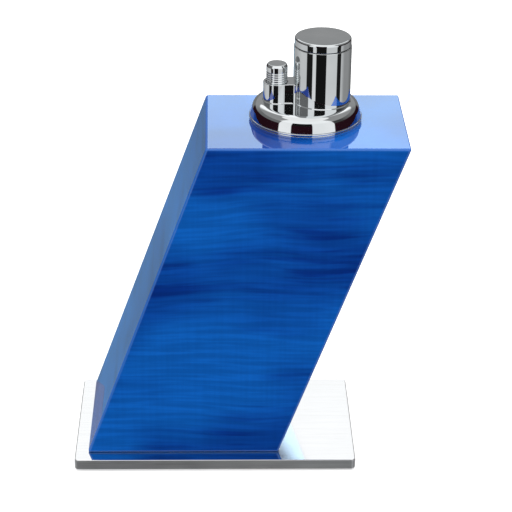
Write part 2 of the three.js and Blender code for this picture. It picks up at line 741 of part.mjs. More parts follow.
const unit = new THREE.Group();
unit.add(
  piece("trim_ring", pipe(0, 0, RING.radius, RING.bore, 0, RING.thick), "chrome"),
  piece("flange", flange(), "chrome"),
  piece("tower_housing", towerHousing(), "chrome"),
  piece("lid", lid(), "chrome"),
  piece("lid_hinge_pin", lidHingePin(), "spring"),
  piece("push_button", pushButton(), "chrome"),
  piece("button_stem", buttonStem(), "nylon"),
  piece("piezo_body", piezoBody(), "nylon"),
  piece("piezo_plunger", piezoPlunger(), "ceramic"),
  piece("piezo_spring", piezoSpring(), "spring"),
  piece("gas_lever", gasLever(), "zinc"),
  piece("lever_pin", leverPin(), "spring"),
  piece("lid_rod", lidRod(), "zinc"),
  piece("valve_stem", valveStem(), "brass"),
  piece("valve_spring", valveSpring(), "spring"),
  piece("valve_body", valveBody(), "brass"),
  piece("valve_seal", valveSeal(), "rubber"),
  piece("burner_mixer", burnerMixer(), "brass"),
  piece("burner_tube", burnerTube(), "spring"),
  piece("flame_spreader", flameSpreader(), "brass"),
  piece("burner_guard", burnerGuard(), "zinc"),
  piece("electrode_insulator", electrodeInsulator(), "ceramic"),
  piece("electrode", electrode(), "spring"),
  piece("spark_lead", sparkLead(), "nylon"),
  piece("chassis", chassis(), "zinc"),
  piece("tank_body", tankBody(), "tank"),
  piece("tank_cover", tankCover(), "tank"),
  piece("retaining_ring", retainingRing(), "rubber"),
  piece("filler_valve_body", fillerValveBody(), "brass"),
  piece("filler_valve_stem", fillerValveStem(), "brass"),
  piece("filler_spring", fillerSpring(), "spring"),
  piece("flame_adjuster", flameAdjuster(), "brass"),
);
POSTS.forEach((place, i) => unit.add(piece(`chassis_screw_${i + 1}`, chassisScrew(place), "steel")));

cup.position.set(UNIT.x, UNIT.y, TOP);
unit.position.set(UNIT.x, UNIT.y, TOP);

const lighter = new THREE.Group();
lighter.add(base, cup, unit);

export default lighter;
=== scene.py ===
"""The looks of a push-button table lighter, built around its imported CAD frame.

A leaning block of blue-stained figured sycamore stands on a polished steel plate. A chrome plated lighter unit
drops into the block's top and lifts out for refilling. Sizes in the classes below are in millimetres, measured
from the point that each class names, and the builders turn them to metres.
"""

import logging
import math
from dataclasses import dataclass
from enum import Enum

import bmesh
import bpy
from mathutils import Matrix, Vector


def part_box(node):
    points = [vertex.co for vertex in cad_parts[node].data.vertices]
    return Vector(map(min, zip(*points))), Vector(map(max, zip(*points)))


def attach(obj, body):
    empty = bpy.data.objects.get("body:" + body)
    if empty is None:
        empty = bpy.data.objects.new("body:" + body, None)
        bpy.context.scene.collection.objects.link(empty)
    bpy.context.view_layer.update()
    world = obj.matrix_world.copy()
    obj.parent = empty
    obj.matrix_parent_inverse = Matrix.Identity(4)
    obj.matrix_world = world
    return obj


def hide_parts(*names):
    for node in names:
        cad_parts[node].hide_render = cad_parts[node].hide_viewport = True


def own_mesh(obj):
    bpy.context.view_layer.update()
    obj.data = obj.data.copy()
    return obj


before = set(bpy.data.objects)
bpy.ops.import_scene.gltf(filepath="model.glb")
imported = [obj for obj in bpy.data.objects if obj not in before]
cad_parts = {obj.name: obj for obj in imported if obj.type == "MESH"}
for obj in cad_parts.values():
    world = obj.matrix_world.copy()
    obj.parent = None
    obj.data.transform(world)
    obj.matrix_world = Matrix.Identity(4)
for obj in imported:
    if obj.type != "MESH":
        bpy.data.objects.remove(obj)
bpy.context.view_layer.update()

MM = 0.001
FULL_TURN = 2 * math.pi
SHARP = math.radians(38)  # a turn between faces above this stays a crisp edge
MERGE = 1e-7  # points of a turned piece that lie closer than this, in metres, are one point
BLOTCHES = 70.0  # soft blotches over every plain finish, per metre
BLOTCH_SHARE = 0.35  # how far they count beside the finish's own grain
TONE_RANGE = (0.45, 0.9)  # the pattern's values that give a finish's darkest and lightest tones
Edges = list[bmesh.types.BMEdge]
Colour = tuple[float, float, float, float]
log = logging.getLogger("table_lighter")


# ------------------------------------------------------------------------------------------------ small helpers
def linear(colour: str) -> Colour:
    """Turns an sRGB hex colour, such as "#1256ac", into linear red, green, blue and alpha.

    Args:
        colour: The hex colour.

    Returns:
        The four linear values, with alpha at 1.
    """
    parts = [int(colour[i : i + 2], 16) / 255 for i in (1, 3, 5)]
    made = [p / 12.92 if p <= 0.04045 else ((p + 0.055) / 1.055) ** 2.4 for p in parts]
    return (made[0], made[1], made[2], 1.0)


def add_node(
    tree: bpy.types.NodeTree, kind: str, settings: dict | None = None, values: dict | None = None,
    links: dict | None = None,
) -> bpy.types.Node:
    """Adds a node with its settings and links.

    Args:
        tree: The node tree.
        kind: The node's type, without its "ShaderNode" start.
        settings: Attributes of the node and what they are set to.
        values: Input names or numbers and their constant values.
        links: Input names or numbers and the sockets that feed them.

    Returns:
        The new node.
    """
    node = tree.nodes.new("ShaderNode" + kind)
    for name, value in (settings or {}).items():
        setattr(node, name, value)
    for name, value in (values or {}).items():
        node.inputs[name].default_value = value
    for name, socket in (links or {}).items():
        tree.links.new(socket, node.inputs[name])
    return node


def set_stops(ramp: bpy.types.Node, stops: list[tuple[float, Colour]]) -> None:
    """Sets a colour ramp's stops.

    Args:
        ramp: The Color Ramp node.
        stops: (position, colour) pairs in rising order.
    """
    elements = ramp.color_ramp.elements
    while len(elements) > 1:
        elements.remove(elements[-1])
    elements[0].position, elements[0].color = stops[0]
    for position, colour in stops[1:]:
        elements.new(position).color = colour


class Outline:
    """Half the section of a turned piece: corners as radius and height in mm, some of them rounded."""

    def __init__(self, closed: bool = True) -> None:
        """Starts an empty outline, which closes on itself unless closed is False."""
        self.closed = closed
        self.corners: list[tuple[float, float, float]] = []

    def to(self, radius: float, height: float, fillet: float = 0.0) -> "Outline":
        """Adds a corner, rounded by fillet, and returns the outline."""
        self.corners.append((radius, height, fillet))
        return self

    def points(self, steps: int = 6) -> list[Vector]:
        """Works out the outline's points in metres.

        Args:
            steps: How many straight pieces a rounded corner has.

        Returns:
            Points in the XZ plane.
        """
        made: list[Vector] = []
        count = len(self.corners)
        for i, (r, z, fillet) in enumerate(self.corners):
            here = Vector((r, z))
            if not fillet:
                made.append(here)
                continue
            before = (Vector(self.corners[i - 1][:2]) - here).normalized()
            after = (Vector(self.corners[(i + 1) % count][:2]) - here).normalized()
            half = before.angle(after) / 2
            centre = here + (before + after).normalized() * (fillet / math.sin(half))
            start = here + before * (fillet / math.tan(half)) - centre
            end = here + after * (fillet / math.tan(half)) - centre
            for step in range(steps + 1):
                turn = start.slerp(end, step / steps).normalized()
                made.append(centre + turn * fillet)
        return [Vector((p.x, 0, p.y)) * MM for p in made]


def turned(outline: Outline, centre: Vector, segments: int = 96, steps: int = 6) -> bmesh.types.BMesh:
    """Spins an outline about the upright line through centre.

    Args:
        outline: The half section.
        centre: The point that the outline's heights are measured from, in metres.
        segments: How many steps the turn has.
        steps: How many straight pieces each rounded corner has.

    Returns:
        A closed bmesh.
    """
    bm = bmesh.new()
    verts = [bm.verts.new(p) for p in outline.points(steps)]
    edges = [bm.edges.new(pair) for pair in zip(verts, verts[1:])]
    if outline.closed:
        edges.append(bm.edges.new((verts[-1], verts[0])))
    bmesh.ops.spin(
        bm, geom=verts + edges, cent=(0, 0, 0), axis=(0, 0, 1), dvec=(0, 0, 0), angle=FULL_TURN,
        steps=segments, use_merge=True, use_normal_flip=False, use_duplicate=False,
    )
    bmesh.ops.remove_doubles(bm, verts=bm.verts, dist=MERGE)
    bmesh.ops.recalc_face_normals(bm, faces=bm.faces)
    bmesh.ops.translate(bm, vec=centre, verts=bm.verts)
    return bm


def bevel_edges(bm: bmesh.types.BMesh, edges: Edges, width: float, segments: int) -> None:
    """Rounds edges.

    Args:
        bm: The mesh.
        edges: The edges to round.
        width: The bevel's width in mm.
        segments: How many strips the round has.
    """
    bmesh.ops.bevel(
        bm, geom=edges, offset=width * MM, offset_type="OFFSET", segments=segments, profile=0.5,
        affect="EDGES", material=-1, clamp_overlap=True,
    )


def sharp_edges(bm: bmesh.types.BMesh, angle: float = SHARP) -> Edges:
    """Returns the edges where two faces meet at more than angle."""
    return [e for e in bm.edges if len(e.link_faces) == 2 and e.calc_face_angle(0) > angle]


def bar(start: Vector, end: Vector, radius: float, edge: float, segments: int = 32) -> bmesh.types.BMesh:
    """Makes a round bar with softened ends.

    Args:
        start: One end, in metres.
        end: The other end, in metres.
        radius: The bar's radius in mm.
        edge: The bevel round both ends in mm.
        segments: How many sides it has.

    Returns:
        A closed bmesh.
    """
    bm = bmesh.new()
    along = end - start
    bmesh.ops.create_cone(
        bm, cap_ends=True, cap_tris=False, segments=segments, radius1=radius * MM, radius2=radius * MM,
        depth=along.length,
    )
    bevel_edges(bm, sharp_edges(bm), edge, 2)
    turn = along.to_track_quat("Z", "Y").to_matrix().to_4x4()
    bmesh.ops.transform(bm, matrix=Matrix.Translation((start + end) / 2) @ turn, verts=bm.verts)
    return bm


def slab(low: Vector, high: Vector, edge: float, segments: int = 3) -> bmesh.types.BMesh:
    """Makes a rectangular piece with softened edges.

    Args:
        low: Its lowest corner in metres.
        high: Its highest corner in metres.
        edge: The bevel on every edge in mm.
        segments: How many strips the bevel has.

    Returns:
        A closed bmesh.
    """
    bm = bmesh.new()
    bmesh.ops.create_cube(bm, size=1)
    bmesh.ops.scale(bm, vec=high - low, verts=bm.verts)
    bmesh.ops.translate(bm, vec=(low + high) / 2, verts=bm.verts)
    bevel_edges(bm, list(bm.edges), edge, segments)
    return bm


def merged(*parts: bmesh.types.BMesh) -> bmesh.types.BMesh:
    """Puts several meshes into the first one.

    Args:
        parts: The meshes. All but the first are freed.

    Returns:
        The first mesh, with the others in it.
    """
    first, *rest = parts
    for part in rest:
        holder = bpy.data.meshes.new("holder")
        part.to_mesh(holder)
        part.free()
        first.from_mesh(holder)
        bpy.data.meshes.remove(holder)
    return first


def ring_of_points(bm: bmesh.types.BMesh, points: list[Vector]) -> Edges:
    """Adds a closed loop of edges through points and returns the edges."""
    verts = [bm.verts.new(p) for p in points]
    return [bm.edges.new((v, verts[(i + 1) % len(verts)])) for i, v in enumerate(verts)]


def circle_points(centre: Vector, radius: float, segments: int) -> list[Vector]:
    """Returns the points of a level circle, with radius in mm."""
    turns = [FULL_TURN * i / segments for i in range(segments)]
    return [centre + Vector((math.cos(t), math.sin(t), 0)) * radius * MM for t in turns]


def fill_between(bm: bmesh.types.BMesh, edges: Edges) -> None:
    """Fills the level area that edge loops leave between them."""
    bmesh.ops.triangle_fill(bm, use_beauty=True, use_dissolve=False, edges=edges)


def walled(bm: bmesh.types.BMesh, edges: Edges, drop: float) -> Edges:
    """Carries a loop of edges down as a wall.

    Args:
        bm: The mesh.
        edges: The loop.
        drop: How far down the wall goes, in mm.

    Returns:
        The loop at the wall's other end.
    """
    made = bmesh.ops.extrude_edge_only(bm, edges=edges)["geom"]
    verts = [g for g in made if isinstance(g, bmesh.types.BMVert)]
    bmesh.ops.translate(bm, vec=(0, 0, -drop * MM), verts=verts)
    return [g for g in made if isinstance(g, bmesh.types.BMEdge) and all(v in verts for v in g.verts)]


# ------------------------------------------------------------------------------------------------ finishes
@dataclass(frozen=True)
class Finish:
    """A plain material whose colour, shine and surface vary with one pattern of stretched noise.

    The pattern's grain is its real size in millimetres along X, Y and Z.
    """

    name: str
    dark: str
    light: str
    rough: tuple[float, float]
    grain: tuple[float, float, float]
    metallic: float = 0.0
    relief: float = 0.0
    extras: tuple[tuple[str, float], ...] = ()

    def material(self) -> bpy.types.Material:
        """Makes the material, once.

        Returns:
            The material, new or already made.
        """
        if self.name in bpy.data.materials:
            return bpy.data.materials[self.name]
        made = bpy.data.materials.new(self.name)
        made.use_nodes = True
        tree = made.node_tree
        shader = tree.nodes["Principled BSDF"]
        shader.inputs["Metallic"].default_value = self.metallic
        for socket, value in self.extras:
            shader.inputs[socket].default_value = value
        place = add_node(tree, "TexCoord")
        scale = Vector([1 / (size * MM) for size in self.grain])
        grain = add_node(tree, "Mapping", values={"Scale": scale}, links={"Vector": place.outputs["Object"]})
        noise = add_node(
            tree, "TexNoise", values={"Scale": 1.0, "Detail": 4.0, "Roughness": 0.6},
            links={"Vector": grain.outputs["Vector"]},
        )
        blotch = add_node(
            tree, "TexNoise", values={"Scale": BLOTCHES, "Detail": 2.0}, links={"Vector": place.outputs["Object"]}
        )
        both = add_node(
            tree, "Math", {"operation": "MULTIPLY_ADD"}, {1: BLOTCH_SHARE},
            {0: blotch.outputs[0], 2: noise.outputs[0]},
        )
        tone = add_node(
            tree, "MapRange", values={"From Min": TONE_RANGE[0], "From Max": TONE_RANGE[1]},
            links={"Value": both.outputs[0]},
        )
        colour = add_node(
            tree, "Mix", {"data_type": "RGBA"}, {6: linear(self.dark), 7: linear(self.light)},
            {0: tone.outputs[0]},
        )
        shine = add_node(
            tree, "MapRange", values={"To Min": self.rough[0], "To Max": self.rough[1]},
            links={"Value": tone.outputs[0]},
        )
        tree.links.new(colour.outputs[2], shader.inputs["Base Color"])
        tree.links.new(shine.outputs[0], shader.inputs["Roughness"])
        if self.relief:
            bump = add_node(
                tree, "Bump", values={"Strength": 1.0, "Distance": self.relief * MM},
                links={"Height": noise.outputs[0]},
            )
            tree.links.new(bump.outputs[0], shader.inputs["Normal"])
        return made


# Bright chrome over a polished zinc casting: an even mirror, with a faint haze of wiping marks.
CHROME = Finish("bright_chrome_plate", "#dfe3e4", "#eceeef", (0.015, 0.045), (14, 14, 14), metallic=1.0)
# Stainless steel lapped to a mirror: bright and slightly soft, with the last polishing lines barely there.
MIRROR_STEEL = Finish("lapped_stainless_steel", "#e6e7e7", "#ecedee", (0.06, 0.09), (26, 1.2, 3), metallic=1.0)
# The plate's sawn and ground edge: long fine lines along it, drawn 0.25 mm apart so that they show.
GROUND_STEEL = Finish(
    "ground_steel_edge", "#b4b6b8", "#d2d4d5", (0.4, 0.52), (30, 30, 0.25), metallic=1.0, relief=0.006
)
# Brass from the lathe: warm, with turning rings drawn 0.2 mm apart.
BRASS = Finish("turned_brass", "#b78a3a", "#d6ae5c", (0.18, 0.32), (9, 9, 0.2), metallic=1.0, relief=0.004)
# Zinc plate on pressed steel: pale grey with soft cloudy patches.
ZINC = Finish("zinc_plated_steel", "#8d9194", "#b1b4b6", (0.3, 0.48), (1.6, 1.6, 1.6), metallic=1.0, relief=0.004)
# Drawn stainless wire and tube: bright, with drawing lines along it.
WIRE = Finish("drawn_stainless_wire", "#a3a7aa", "#c9cccd", (0.14, 0.3), (0.3, 0.3, 6), metallic=1.0)
# Natural nylon: milky and faintly yellow, with light going a little way in.
TANK_NYLON = Finish(
    "natural_nylon", "#cfcdbf", "#e0ded2", (0.34, 0.46), (0.7, 0.7, 0.7), relief=0.006,
    extras=(("IOR", 1.53), ("Subsurface Weight", 0.25), ("Subsurface Scale", 0.002)),
)
# Black nylon, spark eroded mould: a fine even grain.
BLACK_NYLON = Finish(
    "black_moulded_nylon", "#0f1113", "#1d2023", (0.42, 0.58), (0.35, 0.35, 0.35), relief=0.012,
    extras=(("IOR", 1.53),),
)
# Nitrile rubber, moulded: dull, nearly black.
RUBBER = Finish(
    "moulded_nitrile_rubber", "#0e0e0f", "#1c1c1d", (0.6, 0.8), (0.4, 0.4, 0.4), relief=0.01,
    extras=(("IOR", 1.52),),
)
# Alumina, pressed and fired: off-white, satin.
ALUMINA = Finish(
    "fired_alumina", "#e2dccf", "#f1ede3", (0.28, 0.4), (0.5, 0.5, 0.5), relief=0.003, extras=(("IOR", 1.76),)
)
# Pressed wool felt: dark, with a soft bloom of fibres, drawn 0.5 mm across.
FELT = Finish(
    "pressed_wool_felt", "#11151b", "#252b34", (0.9, 1.0), (0.5, 0.5, 0.5), relief=0.2,
    extras=(("Sheen Weight", 0.6), ("Sheen Roughness", 0.5)),
)


@dataclass(frozen=True)
class LacqueredSycamore:
    """Rippled sycamore, stained blue and finished in a thick polished polyester lacquer.

    The ripple of the grain shows as dark streaks across the block, a few millimetres apart and some centimetres
    long, over slow light and dark areas. The rounded edges are painted a lighter blue, a painted highlight along them.
    Sizes are in millimetres, and the streaks wander up and down by the given wave.
    """

    name: str = "blue_stained_sycamore_lacquered"
    deep: str = "#072c7c"
    body: str = "#0a4196"
    bright: str = "#0f5cb6"
    # edge: the lighter blue on the rounded edges, a painted highlight
    edge: str = "#2f66b4"
    streak_long: float = 60.0
    streak_apart: float = 5.2
    cloud: float = 62.0
    fibre_apart: float = 1.6
    fibre_long: float = 40.0
    wave: float = 9.0
    waves_per_metre: float = 14.0

    def material(self) -> bpy.types.Material:
        """Makes the material.

        Returns:
            The new material.
        """
        made = bpy.data.materials.new(self.name)
        made.use_nodes = True
        tree = made.node_tree
        shader = tree.nodes["Principled BSDF"]
        for socket, value in (
            ("IOR", 1.5), ("Roughness", 0.4), ("Specular IOR Level", 0.0), ("Coat Weight", 1.0),
            ("Coat Roughness", 0.015), ("Coat IOR", 1.53),
        ):
            shader.inputs[socket].default_value = value
        place = add_node(tree, "TexCoord").outputs["Object"]
        bend = add_node(
            tree, "TexNoise", values={"Scale": self.waves_per_metre, "Detail": 1.0}, links={"Vector": place}
        )
        wavy = add_node(
            tree, "VectorMath", {"operation": "MULTIPLY_ADD"}, {1: (0.0, 0.0, self.wave * MM)},
            {0: bend.outputs[1], 2: place},
        ).outputs[0]
        streak = (self.streak_long, self.streak_long, self.streak_apart)
        streaks = self._noise(tree, wavy, streak, 3.0, 0.5)
        fine = self._noise(tree, wavy, (streak[0] / 2, streak[1] / 2, streak[2] / 3), 2.0, 0.5)
        clouds = self._noise(tree, place, (self.cloud, self.cloud, self.cloud * 0.6), 2.0, 0.4)
        fibres = self._noise(tree, place, (self.fibre_apart, self.fibre_apart, self.fibre_long), 2.0, 0.6)
        where = self._range(tree, clouds, 0.35, 0.65, 0.0, 1.0)
        depth = self._range(tree, streaks, 0.50, 0.66, 0.0, 1.0)
        strong = add_node(tree, "Math", {"operation": "MULTIPLY"}, {}, {0: depth, 1: where}).outputs[0]
        light = add_node(
            tree, "Mix", {"data_type": "RGBA"}, {6: linear(self.body), 7: linear(self.bright)},
            {0: self._range(tree, clouds, 0.62, 0.38, 0.0, 1.0)},
        ).outputs[2]
        dark = add_node(
            tree, "Mix", {"data_type": "RGBA"}, {7: linear(self.deep)}, {0: strong, 6: light}
        ).outputs[2]
        faint = add_node(
            tree, "Mix", {"data_type": "RGBA", "blend_type": "MULTIPLY"}, {0: 1.0},
            {6: dark, 7: self._grey(tree, fine, 0.35, 0.7, 0.84, 1.1)},
        ).outputs[2]
        fibrous = add_node(
            tree, "Mix", {"data_type": "RGBA", "blend_type": "MULTIPLY"}, {0: 1.0},
            {6: faint, 7: self._grey(tree, fibres, 0.3, 0.7, 0.97, 1.03)},
        ).outputs[2]
        # The rounded edges take the lighter blue: a painted highlight along them.
        highlight_share = add_node(tree, "Attribute", {"attribute_name": "painted_edge_highlight"}).outputs["Fac"]
        colour = add_node(
            tree, "Mix", {"data_type": "RGBA"}, {7: linear(self.edge)}, {0: highlight_share, 6: fibrous}
        ).outputs[2]
        tree.links.new(colour, shader.inputs["Base Color"])
        return made

    @staticmethod
    def _noise(
        tree: bpy.types.NodeTree, vector: bpy.types.NodeSocket, size: tuple[float, float, float], detail: float,
        rough: float,
    ) -> bpy.types.NodeSocket:
        """Makes noise whose features have a real size.

        Args:
            tree: The node tree.
            vector: The place that the noise is read at.
            size: The features' size in mm along each axis.
            detail: How many finer layers the noise has.
            rough: How strong the finer layers are.

        Returns:
            The noise's value.
        """
        scale = Vector([1 / (s * MM) for s in size])
        grain = add_node(tree, "Mapping", values={"Scale": scale}, links={"Vector": vector})
        return add_node(
            tree, "TexNoise", values={"Scale": 1.0, "Detail": detail, "Roughness": rough},
            links={"Vector": grain.outputs[0]},
        ).outputs[0]

    @staticmethod
    def _range(
        tree: bpy.types.NodeTree, value: bpy.types.NodeSocket, low: float, high: float, to_low: float, to_high: float
    ) -> bpy.types.NodeSocket:
        """Returns value carried smoothly from low and high to to_low and to_high."""
        return add_node(
            tree, "MapRange", {"interpolation_type": "SMOOTHSTEP"},
            {"From Min": low, "From Max": high, "To Min": to_low, "To Max": to_high}, {"Value": value},
        ).outputs[0]

    def _grey(
        self, tree: bpy.types.NodeTree, value: bpy.types.NodeSocket, low: float, high: float, to_low: float,
        to_high: float,
    ) -> bpy.types.NodeSocket:
        """Returns a grey from value, carried from low and high to to_low and to_high, to multiply a colour by."""
        level = self._range(tree, value, low, high, to_low, to_high)
        return add_node(tree, "CombineColor", links={0: level, 1: level, 2: level}).outputs[0]


# ------------------------------------------------------------------------------------------------ placing pieces
@dataclass(frozen=True)
class Stand:
    """What a new piece stands for: its body, the CAD nodes that it replaces, and the record's material slot."""

    body: str
    slot: str
    nodes: tuple[str, ...] = ()


def place_piece(
    name: str, bm: bmesh.types.BMesh, materials: list[bpy.types.Material], stand: Stand
) -> bpy.types.Object:
    """Turns a bmesh into a finished piece that rides on its body.

    Args:
        name: The piece's name.
        bm: Its mesh, in metres and in place. It is freed.
        materials: Its materials, in the order of its faces' material numbers.
        stand: What it stands for.

    Returns:
        The new object.
    """
    for face in bm.faces:
        face.smooth = True
    for edge in bm.edges:
        edge.smooth = not (len(edge.link_faces) == 2 and edge.calc_face_angle(0) > SHARP)
    mesh = bpy.data.meshes.new(name)
    bm.to_mesh(mesh)
    bm.free()
    for material in materials:
        mesh.materials.append(material)
    piece = bpy.data.objects.new(name, mesh)
    bpy.context.scene.collection.objects.link(piece)
    even = piece.modifiers.new("even_shading", "WEIGHTED_NORMAL")
    even.keep_sharp = True
    even.weight = 100
    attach(piece, stand.body)
    if stand.nodes:
        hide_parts(*stand.nodes)
    log.info("%s: %d faces", name, len(mesh.polygons))
    return piece


def dress(node: str, finish: Finish) -> None:
    """Gives a CAD node its finish.

    Args:
        node: The node's name.
        finish: What it is made of.
    """
    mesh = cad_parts[node].data
    mesh.materials.clear()
    mesh.materials.append(finish.material())
    log.info("%s: carried over in %s", node, finish.name)


def softened(name: str, node: str, finish: Finish, stand: Stand, edge: float = 0.08) -> None:
    """Makes a finer piece from a CAD node's own shape, with its facets merged and its edges broken.

    Args:
        name: The new piece's name.
        node: The CAD node.
        finish: What it is made of.
        stand: What the piece stands for.
        edge: The bevel on its edges in mm.
    """
    bm = bmesh.new()
    bm.from_mesh(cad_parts[node].data)
    bmesh.ops.remove_doubles(bm, verts=bm.verts, dist=1e-6)
    bmesh.ops.dissolve_limit(bm, angle_limit=math.radians(1), verts=bm.verts, edges=bm.edges)
    bevel_edges(bm, sharp_edges(bm), edge, 2)
    place_piece(name, bm, [finish.material()], stand)


def middle(node: str) -> Vector:
    """Returns the middle of a CAD node's box."""
    low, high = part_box(node)
    return (low + high) / 2


def unit_middle() -> Vector:
    """Returns the point on the block's top that the lighter unit's own sizes are measured from."""
    low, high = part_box("trim_ring")
    return Vector(((low.x + high.x) / 2, (low.y + high.y) / 2, low.z))


def tower_middle() -> Vector:
    """Returns the tower's centre line at the height of the block's top."""
    tower = middle("burner_tube")
    return Vector((tower.x, tower.y, unit_middle().z))


def button_middle() -> Vector:
    """Returns the button's centre line at the height of the block's top."""
    button = middle("push_button")
    return Vector((button.x, button.y, unit_middle().z))


# ------------------------------------------------------------------------------------------------ the base
@dataclass
class Pedestal:
    """The felt, the steel plate and the wood block, with the brass cup in the block's bore."""

    plate_corner: float = 1.5
    plate_edge: float = 0.35
    felt_corner: float = 1.5
    felt_edge: float = 0.2
    block_wide: float = 75.0
    block_edge: float = 1.0
    bore_radius: float = 18.5
    bore_depth: float = 38.0
    cup_radius: float = 18.2
    cup_wall: float = 0.8
    cup_deep: float = 37.7
    screws: tuple[int, ...] = (1, 2, 3, 4)

    def build(self) -> None:
        """Builds every piece of the base."""
        self._felt()
        self._plate()
        self._block()
        self._cup()
        for number in self.screws:
            dress(f"base_screw_{number}", ZINC)
            dress(f"threaded_insert_{number}", BRASS)

    @staticmethod
    def _rounded_slab(node: str, corner: float, edge: float) -> bmesh.types.BMesh:
        """Makes a flat plate as large as a CAD node, with round corners and soft edges.

        Args:
            node: The CAD node.
            corner: The radius of its four upright corners in mm.
            edge: The bevel round its faces in mm.

        Returns:
            The plate's mesh.
        """
        low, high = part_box(node)
        bm = bmesh.new()
        bmesh.ops.create_cube(bm, size=1)
        bmesh.ops.scale(bm, vec=high - low, verts=bm.verts)
        bmesh.ops.translate(bm, vec=(low + high) / 2, verts=bm.verts)
        upright = [e for e in bm.edges if abs(e.verts[0].co.z - e.verts[1].co.z) > 1e-6]
        bevel_edges(bm, upright, corner, 6)
        bevel_edges(bm, sharp_edges(bm, math.radians(60)), edge, 3)
        return bm

    def _felt(self) -> None:
        """Makes the felt under the plate."""
        bm = self._rounded_slab("felt_pad", self.felt_corner, self.felt_edge)
        place_piece("felt_sheet", bm, [FELT.material()], Stand("base", "felt", ("felt_pad",)))

    def _plate(self) -> None:
        """Makes the plate, mirror polished on its faces and ground on its edges."""
        bm = self._rounded_slab("base_plate", self.plate_corner, self.plate_edge)
        for face in bm.faces:
            face.material_index = 0 if abs(face.normal.z) > 0.3 else 1
        materials = [MIRROR_STEEL.material(), GROUND_STEEL.material()]
        place_piece("steel_plate", bm, materials, Stand("base", "polished_steel", ("base_plate",)))

    def _block(self) -> None:
        """Makes the leaning block with its rounded edges and the bore in its top."""
        low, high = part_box("wood_block")
        lean = high.x - low.x - self.block_wide * MM
        bm = bmesh.new()
        bmesh.ops.create_cube(bm, size=1)
        bmesh.ops.scale(bm, vec=(self.block_wide * MM, high.y - low.y, high.z - low.z), verts=bm.verts)
        centre = Vector((low.x + self.block_wide * MM / 2, (low.y + high.y) / 2, (low.z + high.z) / 2))
        bmesh.ops.translate(bm, vec=centre, verts=bm.verts)
        upper = [v for v in bm.verts if v.co.z > centre.z]
        bmesh.ops.translate(bm, vec=(lean, 0, 0), verts=upper)
        bevel_edges(bm, list(bm.edges), self.block_edge, 6)
        self._paint_edge_highlight(bm)
        top = max(bm.faces, key=lambda f: f.normal.z * f.calc_area())
        rim = list(top.edges)
        bmesh.ops.delete(bm, geom=[top], context="FACES_ONLY")
        mouth = ring_of_points(bm, circle_points(unit_middle(), self.bore_radius, 96))
        fill_between(bm, rim + mouth)
        foot = walled(bm, mouth, self.bore_depth)
        bmesh.ops.edgeloop_fill(bm, edges=foot)
        bmesh.ops.recalc_face_normals(bm, faces=bm.faces)
        place_piece(
            "sycamore_block", bm, [LacqueredSycamore().material()], Stand("base", "sycamore", ("wood_block",))
        )

    @staticmethod
    def _paint_edge_highlight(bm: bmesh.types.BMesh) -> None:
        """Marks the rounded edges for a painted highlight of lighter blue: most on the round's middle strips.

        Args:
            bm: The block, before its top is opened.
        """
        highlight_layer = bm.verts.layers.float.new("painted_edge_highlight")
        broad = {v for f in bm.faces if f.calc_area() > 1e-3 for v in f.verts}
        beside = {e.other_vert(v) for v in broad for e in v.link_edges} - broad
        for vert in bm.verts:
            # Painted highlight share: none on the broad faces, some beside them, most on the round's middle strips.
            vert[highlight_layer] = 0.0 if vert in broad else 0.3 if vert in beside else 0.8

    def _cup(self) -> None:
        """Makes the brass liner cup."""
        inner = self.cup_radius - self.cup_wall
        floor = -self.cup_deep + self.cup_wall
        outline = Outline().to(0, -self.cup_deep).to(self.cup_radius, -self.cup_deep, 0.8)
        outline.to(self.cup_radius, 0, 0.15).to(inner, 0, 0.3).to(inner, floor, 0.6).to(0, floor)
        bm = turned(outline, unit_middle(), 96)
        place_piece("brass_liner", bm, [BRASS.material()], Stand("base", "brass", ("liner_cup",)))


